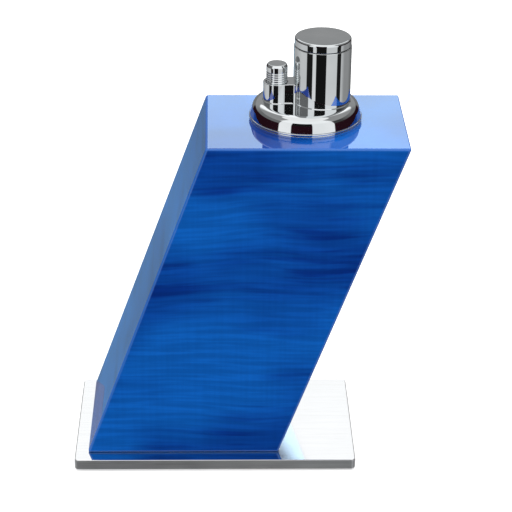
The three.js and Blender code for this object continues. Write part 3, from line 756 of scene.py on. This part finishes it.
# ------------------------------------------------------------------------------------------------ the chrome shell
@dataclass
class ChromeShell:
    """The trim ring, the flange, and the casting of tower and button lobe, with the hinge's two fixed knuckles.

    The ring has a fine groove round its edge, which shows as a dark line under a bright bead.
    """

    ring_radius: float = 21.2
    ring_bore: float = 18.0
    ring_thick: float = 1.9
    groove: float = 0.5
    rim: float = 20.9
    lean: float = math.pi / 14
    shoulder: float = 3.8
    plateau: float = 7.6
    wall: float = 1.2
    tower_radius: float = 10.75
    tower_wall: float = 1.0
    tower_top: float = 29.3
    foot: float = 6.0
    bead: float = 0.25
    lobe_radius: float = 5.1
    web: float = 4.25
    corner: float = 2.6
    lobe_wall: float = 0.6
    lobe_roof: float = 1.2
    lobe_top: float = 15.0
    well: float = 4.15
    knuckle: float = 1.3
    knuckle_from: float = 2.2
    knuckle_to: float = 4.3
    notch_half: float = 2.4
    notch_floor: float = 27.7
    notch_ring: float = 27.3

    def build(self) -> None:
        """Builds the shell's pieces."""
        self._ring()
        self._flange()
        self._tower()
        self._lobe()
        self._knuckles()

    def _ring(self) -> None:
        """Makes the thin ring between the flange and the wood."""
        neck = self.ring_radius - self.groove
        outline = Outline().to(self.ring_bore, 0, 0.1).to(self.ring_radius, 0, 0.1).to(self.ring_radius, 0.85, 0.04)
        outline.to(neck, 0.9).to(neck, 1.4).to(self.ring_radius, 1.45, 0.06)
        outline.to(self.ring_radius, self.ring_thick, 0.25).to(self.ring_bore, self.ring_thick, 0.1)
        bm = turned(outline, unit_middle(), 160)
        place_piece("chrome_trim_ring", bm, [CHROME.material()], Stand("unit", "chrome", ("trim_ring",)))

    def _lobe_side(self, radius: float, web: float, corner: float, tower: float) -> list[tuple[float, float]]:
        """Works out the lobe's outline seen from above, without the tower's own round.

        Args:
            radius: The round end's radius in mm.
            web: Half the width of the web to the tower, in mm.
            corner: The hollow corner's radius against the tower in mm, or 0 for none.
            tower: The tower's radius in mm.

        Returns:
            (x, y) pairs from the tower's centre line, from the tower's +Y side round to its -Y side.
        """
        span = (tower_middle().x - button_middle().x) / MM
        away = web + corner
        along = math.sqrt((tower + corner) ** 2 - away**2)
        turn = math.atan2(away, along)
        meet = math.asin(web / radius)
        bends = [-turn - (math.pi / 2 - turn) * i / 8 for i in range(9)] if corner else []
        half = [(-along + corner * math.cos(b), away + corner * math.sin(b)) for b in bends]
        half = half or [(-along, web)]
        round_end = [meet + (FULL_TURN - 2 * meet) * i / 56 for i in range(57)]
        ends = [(-span + radius * math.cos(a), radius * math.sin(a)) for a in round_end]
        return half + ends + [(x, -y) for x, y in reversed(half)]

    @staticmethod
    def _raised(points: list[tuple[float, float]], height: float) -> list[Vector]:
        """Returns points round the tower's centre line as vectors in metres, at a height in mm above the block."""
        return [tower_middle() + Vector((x, y, height)) * MM for x, y in points]

    def _flange(self) -> None:
        """Makes the domed flange, with the keyhole mouth under the casting."""
        turn = self.plateau - self.shoulder
        rise = turn + self.shoulder * math.sin(self.lean) - self.ring_thick
        bend = self.rim - rise * math.tan(self.lean) - self.shoulder * math.cos(self.lean)
        inner = self.shoulder - self.wall
        outline = Outline(closed=False).to(bend - 0.05, self.plateau)
        for i in range(19):
            angle = math.pi / 2 - (math.pi / 2 - self.lean) * i / 18
            outline.to(bend + self.shoulder * math.cos(angle), turn + self.shoulder * math.sin(angle))
        outline.to(self.rim, self.ring_thick + 0.02, 0.15).to(self.rim - self.wall, self.ring_thick + 0.02)
        for i in range(9):
            angle = self.lean + (math.pi / 2 - self.lean) * i / 8
            outline.to(bend + inner * math.cos(angle), turn + inner * math.sin(angle))
        outline.to(bend - 0.05, self.plateau - self.wall)
        bm = turned(outline, unit_middle(), 180)
        loops = [e for e in bm.edges if e.is_boundary]
        high = max(e.verts[0].co.z for e in loops)
        upper = [e for e in loops if e.verts[0].co.z > high - 1e-5]
        lower = [e for e in loops if e.verts[0].co.z <= high - 1e-5]
        tower = self.tower_radius - 0.3
        side = self._lobe_side(self.lobe_radius - self.lobe_wall, self.web - self.lobe_wall, 0, tower)
        gap = math.asin((self.web - self.lobe_wall) / tower)
        turns = [math.pi + gap + (FULL_TURN - 2 * gap) * i / 73 for i in range(1, 73)]
        keyhole = side + [(tower * math.cos(t), tower * math.sin(t)) for t in turns]
        mouth = ring_of_points(bm, self._raised(keyhole, self.plateau))
        fill_between(bm, upper + mouth)
        fill_between(bm, lower + walled(bm, mouth, self.wall))
        bmesh.ops.recalc_face_normals(bm, faces=bm.faces)
        place_piece("flange_casting", bm, [CHROME.material()], Stand("unit", "chrome", ("flange",)))

    def _tower(self) -> None:
        """Makes the tower's wall, with the notch at its back for the lid's knuckle."""
        inner = self.tower_radius - self.tower_wall
        outline = Outline().to(self.tower_radius - 0.5, self.foot).to(self.tower_radius - 0.5, self.plateau)
        outline.to(self.tower_radius + self.bead, self.plateau + 0.01)
        outline.to(self.tower_radius, self.plateau + self.bead).to(self.tower_radius, self.notch_ring)
        outline.to(self.tower_radius, self.tower_top, 0.22).to(inner, self.tower_top, 0.22)
        outline.to(inner, self.notch_ring).to(inner, self.foot)
        bm = turned(outline, tower_middle(), 144)
        floor = tower_middle().z + (self.notch_ring + 0.1) * MM
        axis = tower_middle()
        lowered = [
            v for v in bm.verts
            if v.co.z > floor and v.co.y > axis.y and abs(v.co.x - axis.x) < self.notch_half * MM
        ]
        bmesh.ops.translate(bm, vec=(0, 0, (self.notch_floor - self.tower_top) * MM), verts=lowered)
        place_piece("tower_casting", bm, [CHROME.material()], Stand("unit", "chrome", ("tower_housing",)))

    def _lobe(self) -> None:
        """Makes the low lobe that the button stands in, as a shell with a round well in its roof."""
        wall = self.lobe_wall
        outer = self._closed_side(self.lobe_radius, self.web, self.corner)
        inner = self._closed_side(self.lobe_radius - wall, self.web - wall, self.corner + wall)
        beaded = self._closed_side(self.lobe_radius + self.bead, self.web + self.bead, self.corner - self.bead)
        bm = bmesh.new()
        rim = ring_of_points(bm, self._raised(outer, self.lobe_top))
        well_top = button_middle() + Vector((0, 0, self.lobe_top * MM))
        well = ring_of_points(bm, circle_points(well_top, self.well, 64))
        fill_between(bm, rim + well)
        well_foot = walled(bm, well, self.lobe_roof)
        ceiling = ring_of_points(bm, self._raised(inner, self.lobe_top - self.lobe_roof))
        fill_between(bm, well_foot + ceiling)
        height = self.lobe_top - self.plateau - 0.02
        foot = walled(bm, rim, height - self.bead)
        bead = ring_of_points(bm, self._raised(beaded, self.plateau + 0.02))
        bmesh.ops.bridge_loops(bm, edges=foot + bead)
        inner_foot = walled(bm, ceiling, height - self.lobe_roof)
        fill_between(bm, bead + inner_foot)
        bmesh.ops.recalc_face_normals(bm, faces=bm.faces)
        top = well_top.z - 1e-5
        edges = [e for e in sharp_edges(bm, math.radians(60)) if all(v.co.z > top for v in e.verts)]
        bevel_edges(bm, edges, 0.32, 4)
        place_piece("button_lobe", bm, [CHROME.material()], Stand("unit", "chrome"))

    def _closed_side(self, radius: float, web: float, corner: float) -> list[tuple[float, float]]:
        """Works out the lobe's outline, closed by a chord inside the tower's wall.

        Args:
            radius: The round end's radius in mm.
            web: Half the width of the web to the tower, in mm.
            corner: The hollow corner's radius against the tower in mm.

        Returns:
            (x, y) pairs in mm from the tower's centre line.
        """
        side = self._lobe_side(radius, web, corner, self.tower_radius)
        keep = 1 - 0.6 * self.tower_wall / self.tower_radius
        return side + [(side[i][0] * keep, side[i][1] * keep) for i in (-1, 0)]

    def _knuckles(self) -> None:
        """Makes the hinge's fixed knuckles and its pin."""
        pin = middle("lid_hinge_pin")
        sides = []
        for side in (-1, 1):
            start = pin + Vector((side * self.knuckle_from * MM, 0, 0))
            end = pin + Vector((side * self.knuckle_to * MM, 0, 0))
            sides.append(bar(start, end, self.knuckle, 0.15, 40))
        place_piece("fixed_hinge_knuckles", merged(*sides), [CHROME.material()], Stand("unit", "chrome"))
        low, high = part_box("lid_hinge_pin")
        ends = [Vector((x, pin.y, pin.z)) for x in (low.x, high.x)]
        bm = bar(ends[0], ends[1], 0.6, 0.1)
        place_piece("hinge_pin", bm, [WIRE.material()], Stand("unit", "spring_steel", ("lid_hinge_pin",)))


@dataclass
class LidCap:
    """The tower's lid: a shallow cap with its knuckle, the web that carries it, and the ears for the crank pin."""

    radius: float = 10.55
    low: float = 29.55
    top: float = 32.6
    wall: float = 0.9
    crown: float = 1.0
    round: float = 0.8
    relief_half: float = 4.7
    relief_top: float = 31.1
    knuckle: float = 1.3
    knuckle_half: float = 2.0
    ear_from: float = 1.15
    ear_to: float = 1.85
    crank: float = 1.266
    crank_pin: float = 0.45

    def build(self) -> None:
        """Builds the lid as one piece."""
        inner = self.radius - self.wall
        outline = Outline().to(0, self.top - self.crown).to(inner, self.top - self.crown, 0.3)
        outline.to(inner, self.relief_top + 0.1).to(inner, self.low, 0.1).to(self.radius, self.low, 0.15)
        outline.to(self.radius, self.relief_top + 0.1).to(self.radius, self.top, self.round).to(0, self.top)
        bm = turned(outline, tower_middle(), 144, steps=8)
        axis = tower_middle()
        level = axis.z + self.relief_top * MM
        raised = [
            v for v in bm.verts
            if v.co.z < level and v.co.y > axis.y and abs(v.co.x - axis.x) < self.relief_half * MM
        ]
        bmesh.ops.translate(bm, vec=(0, 0, (self.relief_top - self.low) * MM), verts=raised)
        pin = middle("lid_hinge_pin")
        half = Vector((self.knuckle_half * MM, 0, 0))
        knuckle = bar(pin - half, pin + half, self.knuckle, 0.15, 40)
        web_low = Vector((pin.x - half.x + 1e-4, pin.y - 1.6 * MM, pin.z + 0.6 * MM))
        web_high = Vector((pin.x + half.x - 1e-4, pin.y + 0.55 * MM, axis.z + (self.top - 0.6) * MM))
        crank = pin - Vector((0, self.crank, self.crank)) * MM
        ears = []
        for side in (-1, 1):
            xs = sorted((pin.x + side * self.ear_from * MM, pin.x + side * self.ear_to * MM))
            low = Vector((xs[0], crank.y - 0.7 * MM, crank.z - 0.7 * MM))
            high = Vector((xs[1], pin.y - 1.15 * MM, axis.z + (self.top - 0.5) * MM))
            ears.append(slab(low, high, 0.12, 2))
        reach = Vector((1.5 * MM, 0, 0))
        cross = bar(crank - reach, crank + reach, self.crank_pin, 0.05, 20)
        bm = merged(bm, knuckle, slab(web_low, web_high, 0.25, 3), *ears, cross)
        place_piece("lid_cap", bm, [CHROME.material()], Stand("lid", "chrome", ("lid",)))


@dataclass
class PushButton:
    """The ribbed chrome button, and the nylon stem and plunger under it."""

    radius: float = 4.0
    rim: float = 4.35
    low: float = 12.4
    rim_high: float = 1.1
    top: float = 22.0
    rings: int = 5
    first_ring: float = 15.5
    ring_pitch: float = 0.85
    ring_deep: float = 0.22
    ring_half: float = 0.26
    skirt: float = 2.5
    inside: float = 18.7

    def build(self) -> None:
        """Builds the button and dresses what moves with it."""
        outline = Outline().to(0, self.top).to(0, self.inside).to(self.skirt, self.inside).to(self.skirt, self.low)
        outline.to(self.rim, self.low, 0.1).to(self.rim, self.low + self.rim_high, 0.1)
        outline.to(self.radius, self.low + self.rim_high)
        for number in range(self.rings):
            height = self.first_ring + number * self.ring_pitch
            outline.to(self.radius, height - self.ring_half, 0.13)
            outline.to(self.radius - self.ring_deep, height, 0.04)
            outline.to(self.radius, height + self.ring_half, 0.13)
        outline.to(self.radius, self.top - 0.9, 0.5).to(self.radius - 0.55, self.top, 0.35)
        bm = turned(outline, button_middle(), 96, steps=5)
        place_piece("ribbed_button", bm, [CHROME.material()], Stand("button", "chrome", ("push_button",)))
        softened("button_foot", "button_stem", BLACK_NYLON, Stand("button", "black_nylon", ("button_stem",)))
        softened("hammer_plunger", "piezo_plunger", ALUMINA, Stand("button", "ceramic", ("piezo_plunger",)))


# ------------------------------------------------------------------------------------------------ burner and works
class Coils(Enum):
    """The three coil springs: CAD node, joint, the end that stays still, coil radius, wire, turns, share kept."""

    PIEZO = ("piezo_spring", "button_press", "low", 2.2, 0.28, 4, 0.54)
    VALVE = ("valve_spring", "button_press", "high", 1.7, 0.16, 2, 0.36)
    FILLER = ("filler_spring", "filler_press", "high", 1.45, 0.18, 4, 0.74)


@dataclass
class Works:
    """The burner under the lid, the spark, the gas valve, the lever and rod, and their springs."""

    tube_radius: float = 4.0
    tube_wall: float = 0.5
    tube_low: float = 10.4
    tube_top: float = 24.6
    throat: float = 2.7
    insulator: float = 0.9
    bore: float = 0.5
    coil_steps: int = 20

    def build(self) -> None:
        """Builds the works."""
        self._tube()
        self._insulator()
        unit = {
            "burner_guard": ("air_plate", ZINC, "zinc_plated_steel"),
            "flame_spreader": ("spreader_disc", BRASS, "brass"),
            "electrode": ("spark_wire", WIRE, "spring_steel"),
        }
        for node, (name, finish, slot) in unit.items():
            softened(name, node, finish, Stand("unit", slot, (node,)), 0.05)
        softened("gas_lever_pressing", "gas_lever", ZINC, Stand("lever", "zinc_plated_steel", ("gas_lever",)))
        softened("lid_push_rod", "lid_rod", ZINC, Stand("lid_rod", "zinc_plated_steel", ("lid_rod",)))
        softened("valve_needle", "valve_stem", BRASS, Stand("gas_valve", "brass", ("valve_stem",)), 0.04)
        for node, finish in (
            ("piezo_body", BLACK_NYLON), ("lever_pin", WIRE), ("valve_body", BRASS), ("valve_seal", RUBBER),
            ("burner_mixer", BRASS), ("spark_lead", BLACK_NYLON),
        ):
            dress(node, finish)
        for spring in Coils:
            self._spring(*spring.value)

    def _tube(self) -> None:
        """Makes the burner tube with its rolled lip."""
        inner = self.tube_radius - self.tube_wall
        outline = Outline().to(self.throat, self.tube_low).to(self.tube_radius, self.tube_low, 0.5)
        outline.to(self.tube_radius, self.tube_top, 0.24).to(inner, self.tube_top, 0.24)
        outline.to(inner, self.tube_low + 0.8, 0.3).to(self.throat, self.tube_low + 0.8)
        bm = turned(outline, tower_middle(), 72)
        place_piece("burner_barrel", bm, [WIRE.material()], Stand("unit", "spring_steel", ("burner_tube",)))

    def _insulator(self) -> None:
        """Makes the ceramic sleeve round the spark wire."""
        low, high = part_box("electrode_insulator")
        centre = Vector(((low.x + high.x) / 2, (low.y + high.y) / 2, 0))
        foot, head = low.z / MM, high.z / MM
        outline = Outline().to(self.bore, foot).to(self.insulator, foot, 0.1)
        outline.to(self.insulator, head, 0.25).to(self.bore, head, 0.1)
        bm = turned(outline, centre, 40)
        place_piece("spark_sleeve", bm, [ALUMINA.material()], Stand("unit", "ceramic", ("electrode_insulator",)))

    def _spring(
        self, node: str, joint: str, still: str, radius: float, wire: float, turns: int, keep: float
    ) -> None:
        """Makes a coil spring in the place of its CAD node.

        Args:
            node: The CAD node that it replaces.
            joint: The spring's joint. Not used.
            still: Which end stays where it is, "low" or "high". Not used.
            radius: The coil's radius in mm.
            wire: The wire's radius in mm.
            turns: How many turns it has.
            keep: The share of its length that is left at the joint's limit. Not used.
        """
        low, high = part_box(node)
        centre = (low + high) / 2
        bm = bmesh.new()
        bmesh.ops.create_circle(bm, cap_ends=False, segments=10, radius=wire * MM)
        upright = Matrix.Rotation(math.pi / 2, 4, "X")
        start = Matrix.Translation((centre.x + radius * MM, centre.y, low.z + wire * MM))
        bmesh.ops.transform(bm, matrix=start @ upright, verts=bm.verts)
        steps = turns * self.coil_steps
        rise = (high.z - low.z - 2 * wire * MM) / steps
        bmesh.ops.spin(
            bm, geom=list(bm.verts) + list(bm.edges), cent=(centre.x, centre.y, 0), axis=(0, 0, 1),
            dvec=(0, 0, rise), angle=turns * FULL_TURN, steps=steps, use_merge=False,
            use_normal_flip=False, use_duplicate=False,
        )
        bmesh.ops.holes_fill(bm, edges=[e for e in bm.edges if e.is_boundary], sides=12)
        bmesh.ops.recalc_face_normals(bm, faces=bm.faces)
        piece = place_piece(node + "_coil", bm, [WIRE.material()], Stand("unit", "spring_steel", (node,)))
        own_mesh(piece)


# ------------------------------------------------------------------------------------------------ chassis and tank
@dataclass
class TankAndChassis:
    """What hangs in the cup: the chassis plate, the fuel tank and its cover, the filler and the flame screw."""

    seal_height: float = -12.0
    seal_radius: float = 16.6
    seal_thick: float = 0.7
    seal_points: int = 16

    def build(self) -> None:
        """Builds the tank's pieces."""
        for name, node, finish, body, slot, edge in (
            ("fuel_tank", "tank_body", TANK_NYLON, "unit", "tank_nylon", 0.35),
            ("tank_lid", "tank_cover", TANK_NYLON, "unit", "tank_nylon", 0.25),
            ("chassis_plate", "chassis", ZINC, "unit", "zinc_plated_steel", 0.12),
            ("filler_nozzle_seat", "filler_valve_body", BRASS, "unit", "brass", 0.15),
            ("filler_needle", "filler_valve_stem", BRASS, "filler_stem", "brass", 0.05),
            ("flame_screw", "flame_adjuster", BRASS, "flame_adjuster", "brass", 0.1),
        ):
            softened(name, node, finish, Stand(body, slot, (node,)), edge)
        self._seal()
        for number in (1, 2, 3, 4):
            dress(f"chassis_screw_{number}", ZINC)

    def _seal(self) -> None:
        """Makes the rubber ring that grips the cup."""
        outline = Outline()
        for i in range(self.seal_points):
            turn = FULL_TURN * i / self.seal_points
            out, up = self.seal_thick * math.cos(turn), self.seal_thick * math.sin(turn)
            outline.to(self.seal_radius + out, self.seal_height + up)
        bm = turned(outline, unit_middle(), 128)
        place_piece("grip_ring", bm, [RUBBER.material()], Stand("unit", "nitrile_rubber", ("retaining_ring",)))


# ------------------------------------------------------------------------------------------------ the studio
MAROON = (0.018, 0.0048, 0.0085)  # the black screens' own faint colour low down
WHITE = (1.0, 1.0, 1.0, 1.0)


@dataclass(frozen=True)
class Screens:
    """A belt of the studio that only mirrors see: grey screens between black ones, by their angle from the front.

    Angles are in degrees, 0 at the front and rising towards +X. Each patch is (from, to, brightness), with a
    brightness for each of red, green and blue where it is tinted. Between two patches it changes evenly.
    """

    patches: tuple[tuple[float, float, float | tuple[float, float, float]], ...]

    def stops(self) -> list[tuple[float, Colour]]:
        """Works out a colour ramp's stops for the belt.

        Returns:
            (position, colour) pairs, with position 0 at -180 degrees and 1 at 180.
        """
        made = []
        for low, high, level in self.patches:
            colour = level if isinstance(level, tuple) else (level, level * 1.01, level * 1.02)
            made += [((angle + 180) / 360, (*colour, 1.0)) for angle in (low, high)]
        return made


@dataclass
class Studio:
    """A pale floor, soft light all round, and the camera. Dark and pale screens stand round it for the chrome.

    The camera's place and the floor are in millimetres and angles in degrees. The softbox is in metres. The belts
    of screens lie over each other, from low up, and the feet are the elevations that each next one starts at.
    """

    floor_half: float = 6000.0
    camera_at: tuple[float, float, float] = (-0.6, -630.3, 396.4)
    pitch: float = 26.729
    yaw: float = 1.498
    roll: float = -0.66
    lens: float = 127.72
    low: Screens = Screens((
        (-180, -178, (0.1, 0.17, 0.23)), (-164, -159, (0.175, 0.3, 0.395)), (-150, -134, 0.42), (-95, -69, 0.62),
        (-68.5, -43, 0.012), (-42.5, -29.5, 0.76), (-29, 12, 0.008), (12.5, 56.5, 0.68), (57, 75.5, 0.012),
        (76, 77, 0.6), (94, 120, 0.3), (150, 180, 0.14),
    ))
    level: Screens = Screens((
        (-180, -150, 0.2), (-145, -58.5, MAROON), (-58, -31.5, 0.95), (-31, 12, MAROON), (12.5, 59.5, 0.95),
        (60, 145, MAROON), (150, 180, 0.2),
    ))
    middle: Screens = Screens((
        (-180, -150, 0.31), (-120, -59, 0.16), (-58, -31.5, 0.95), (-31, 12, 0.008), (12.5, 59.5, 0.95),
        (60, 80, 0.05), (120, 140, 0.2), (150, 180, 0.31),
    ))
    upper: Screens = Screens((
        (-180, -155, 1.18), (-140, -66, 0.3), (-58, 58, 1.05), (66, 140, 0.3), (155, 180, 1.18),
    ))
    level_foot: float = -12.0
    middle_foot: float = 12.0
    upper_foot: float = 33.0
    ceiling_foot: float = 64.0
    foot_blur: float = 0.8
    upper_tilt: float = 0.08
    soft_at_level: float = 0.74
    soft_overhead: float = 2.04
    floor_seen: float = 0.8
    floor_glow: float = 0.35
    floor_throws: float = 0.42
    softbox_size: tuple[float, float] = (0.72, 0.5)
    softbox_at: tuple[float, float, float] = (0.1, 1.15, 0.61)
    softbox_aim: tuple[float, float, float] = (0.1, 0.0, 0.135)
    softbox_colour: tuple[float, float, float] = (0.63, 0.86, 1.0)
    softbox_strength: float = 3.2

    def build(self) -> None:
        """Builds the floor, the light and the camera."""
        self._floor()
        self._sky()
        self._softbox()
        self._camera()
        bpy.context.scene.view_settings.view_transform = "Standard"
        bpy.context.scene.view_settings.look = "None"

    def _floor(self) -> None:
        """Makes the white floor. Mirrors see the screens in its place, and it throws back under half of the light."""
        bm = bmesh.new()
        bmesh.ops.create_grid(bm, x_segments=1, y_segments=1, size=self.floor_half * MM)
        mesh = bpy.data.meshes.new("studio_floor")
        bm.to_mesh(mesh)
        bm.free()
        made = bpy.data.materials.new("white_paper_sweep")
        made.use_nodes = True
        tree = made.node_tree
        seen = add_node(tree, "LightPath").outputs["Is Camera Ray"]
        dim = add_node(tree, "BsdfDiffuse", values={"Color": (*[self.floor_throws] * 3, 1)})
        white = add_node(tree, "Emission", values={"Color": WHITE, "Strength": self.floor_glow})
        paper = add_node(tree, "BsdfDiffuse", values={"Color": (*[self.floor_seen] * 3, 1)})
        lit = add_node(tree, "AddShader", links={0: white.outputs[0], 1: paper.outputs[0]})
        both = add_node(tree, "MixShader", links={0: seen, 1: dim.outputs[0], 2: lit.outputs[0]})
        tree.links.new(both.outputs[0], tree.nodes["Material Output"].inputs["Surface"])
        mesh.materials.append(made)
        floor = bpy.data.objects.new("studio_floor", mesh)
        floor.visible_glossy = False
        bpy.context.scene.collection.objects.link(floor)

    def _sky(self) -> None:
        """Makes the world: even soft light, with the belts of screens that only mirrors see."""
        world = bpy.data.worlds.new("studio")
        bpy.context.scene.world = world
        world.use_nodes = True
        tree = world.node_tree
        seen = add_node(tree, "SeparateXYZ", links={0: add_node(tree, "TexCoord").outputs["Generated"]})
        x, y, z = seen.outputs
        front = add_node(tree, "Math", {"operation": "MULTIPLY"}, {1: -1.0}, {0: y}).outputs[0]
        around = add_node(tree, "Math", {"operation": "ARCTAN2"}, {}, {0: x, 1: front}).outputs[0]
        turn = add_node(
            tree, "MapRange", values={"From Min": -math.pi, "From Max": math.pi}, links={"Value": around}
        ).outputs[0]
        tilt = {1: self.upper_tilt}
        tilted = add_node(tree, "Math", {"operation": "MULTIPLY_ADD"}, tilt, {0: y, 2: z}).outputs[0]
        belts = [
            (self.level, z, self.level_foot), (self.middle, z, self.middle_foot), (self.upper, tilted, self.upper_foot)
        ]
        mirror = self._belt(tree, self.low, turn)
        for belt, height, angle in belts:
            mirror = add_node(
                tree, "Mix", {"data_type": "RGBA"}, {},
                {0: self._step(tree, height, angle), 6: mirror, 7: self._belt(tree, belt, turn)},
            ).outputs[2]
        mirror = add_node(
            tree, "Mix", {"data_type": "RGBA"}, {7: WHITE}, {0: self._step(tree, z, self.ceiling_foot), 6: mirror}
        ).outputs[2]
        soft = add_node(
            tree, "MapRange", values={"To Min": self.soft_at_level, "To Max": self.soft_overhead}, links={"Value": z}
        ).outputs[0]
        path = add_node(tree, "LightPath")
        shading = {
            "mirror": add_node(tree, "Background", links={0: mirror}),
            "soft": add_node(tree, "Background", links={1: soft}, values={0: WHITE}),
            "seen": add_node(tree, "Background", values={0: WHITE, 1: 1.0}),
        }
        glossy = add_node(tree, "MixShader", links={
            0: path.outputs["Is Glossy Ray"], 1: shading["soft"].outputs[0], 2: shading["mirror"].outputs[0]})
        seen_by = add_node(tree, "MixShader", links={
            0: path.outputs["Is Camera Ray"], 1: glossy.outputs[0], 2: shading["seen"].outputs[0]})
        tree.links.new(seen_by.outputs[0], tree.nodes["World Output"].inputs["Surface"])

    @staticmethod
    def _belt(tree: bpy.types.NodeTree, screens: Screens, turn: bpy.types.NodeSocket) -> bpy.types.NodeSocket:
        """Works out the colour of a belt of screens in a direction.

        Args:
            tree: The node tree.
            screens: The belt.
            turn: The direction's turn round the upright, 0 to 1 from -180 to 180 degrees.

        Returns:
            The colour.
        """
        ramp = add_node(tree, "ValToRGB", links={0: turn})
        set_stops(ramp, screens.stops())
        return ramp.outputs[0]

    def _step(
        self, tree: bpy.types.NodeTree, height: bpy.types.NodeSocket, angle: float
    ) -> bpy.types.NodeSocket:
        """Tells a direction above an elevation from one below it.

        Args:
            tree: The node tree.
            height: The direction's height, as the sine of its elevation.
            angle: The elevation in degrees.

        Returns:
            0 below it and 1 above it, with a soft change between.
        """
        edges = [math.sin(math.radians(angle + shift)) for shift in (-self.foot_blur, self.foot_blur)]
        return add_node(
            tree, "MapRange", values={"From Min": edges[0], "From Max": edges[1]}, links={"Value": height}
        ).outputs[0]

    def _softbox(self) -> None:
        """Hangs a wide soft light behind the object, low enough to shine in the block's lacquer and nowhere else."""
        made = bpy.data.lights.new("back_softbox", "AREA")
        made.shape = "RECTANGLE"
        made.size, made.size_y = self.softbox_size
        made.energy = self.softbox_strength * math.pi * made.size * made.size_y
        made.color = self.softbox_colour
        light = bpy.data.objects.new("back_softbox", made)
        bpy.context.scene.collection.objects.link(light)
        light.location = self.softbox_at
        aim = Vector(self.softbox_aim) - Vector(light.location)
        light.rotation_euler = aim.to_track_quat("-Z", "Y").to_euler()
        light.visible_camera = False
        light.visible_diffuse = False
        takers = bpy.data.collections.new("lacquered_pieces")
        takers.objects.link(bpy.data.objects["sycamore_block"])
        light.light_linking.receiver_collection = takers

    def _camera(self) -> None:
        """Sets the camera from its place and its three turns."""
        made = bpy.data.cameras.new("camera")
        made.sensor_width, made.lens = 36.0, self.lens
        made.clip_start, made.clip_end = 0.01, 50.0
        camera = bpy.data.objects.new("camera", made)
        bpy.context.scene.collection.objects.link(camera)
        yaw, pitch, roll = (math.radians(a) for a in (self.yaw, self.pitch, self.roll))
        level = Matrix.Rotation(-yaw, 3, "Z") @ Matrix.Rotation(math.pi / 2 - pitch, 3, "X")
        turn = level @ Matrix.Rotation(-roll, 3, "Z")
        camera.matrix_world = Matrix.Translation(Vector(self.camera_at) * MM) @ turn.to_4x4()
        bpy.context.scene.camera = camera


def main() -> None:
    """Builds the lighter and its studio."""
    logging.basicConfig(level=logging.INFO, format="%(name)s: %(message)s")
    for part in (Pedestal(), ChromeShell(), LidCap(), PushButton(), Works(), TankAndChassis(), Studio()):
        part.build()
        log.info("%s done", type(part).__name__)


if __name__ == "__main__":
    main()
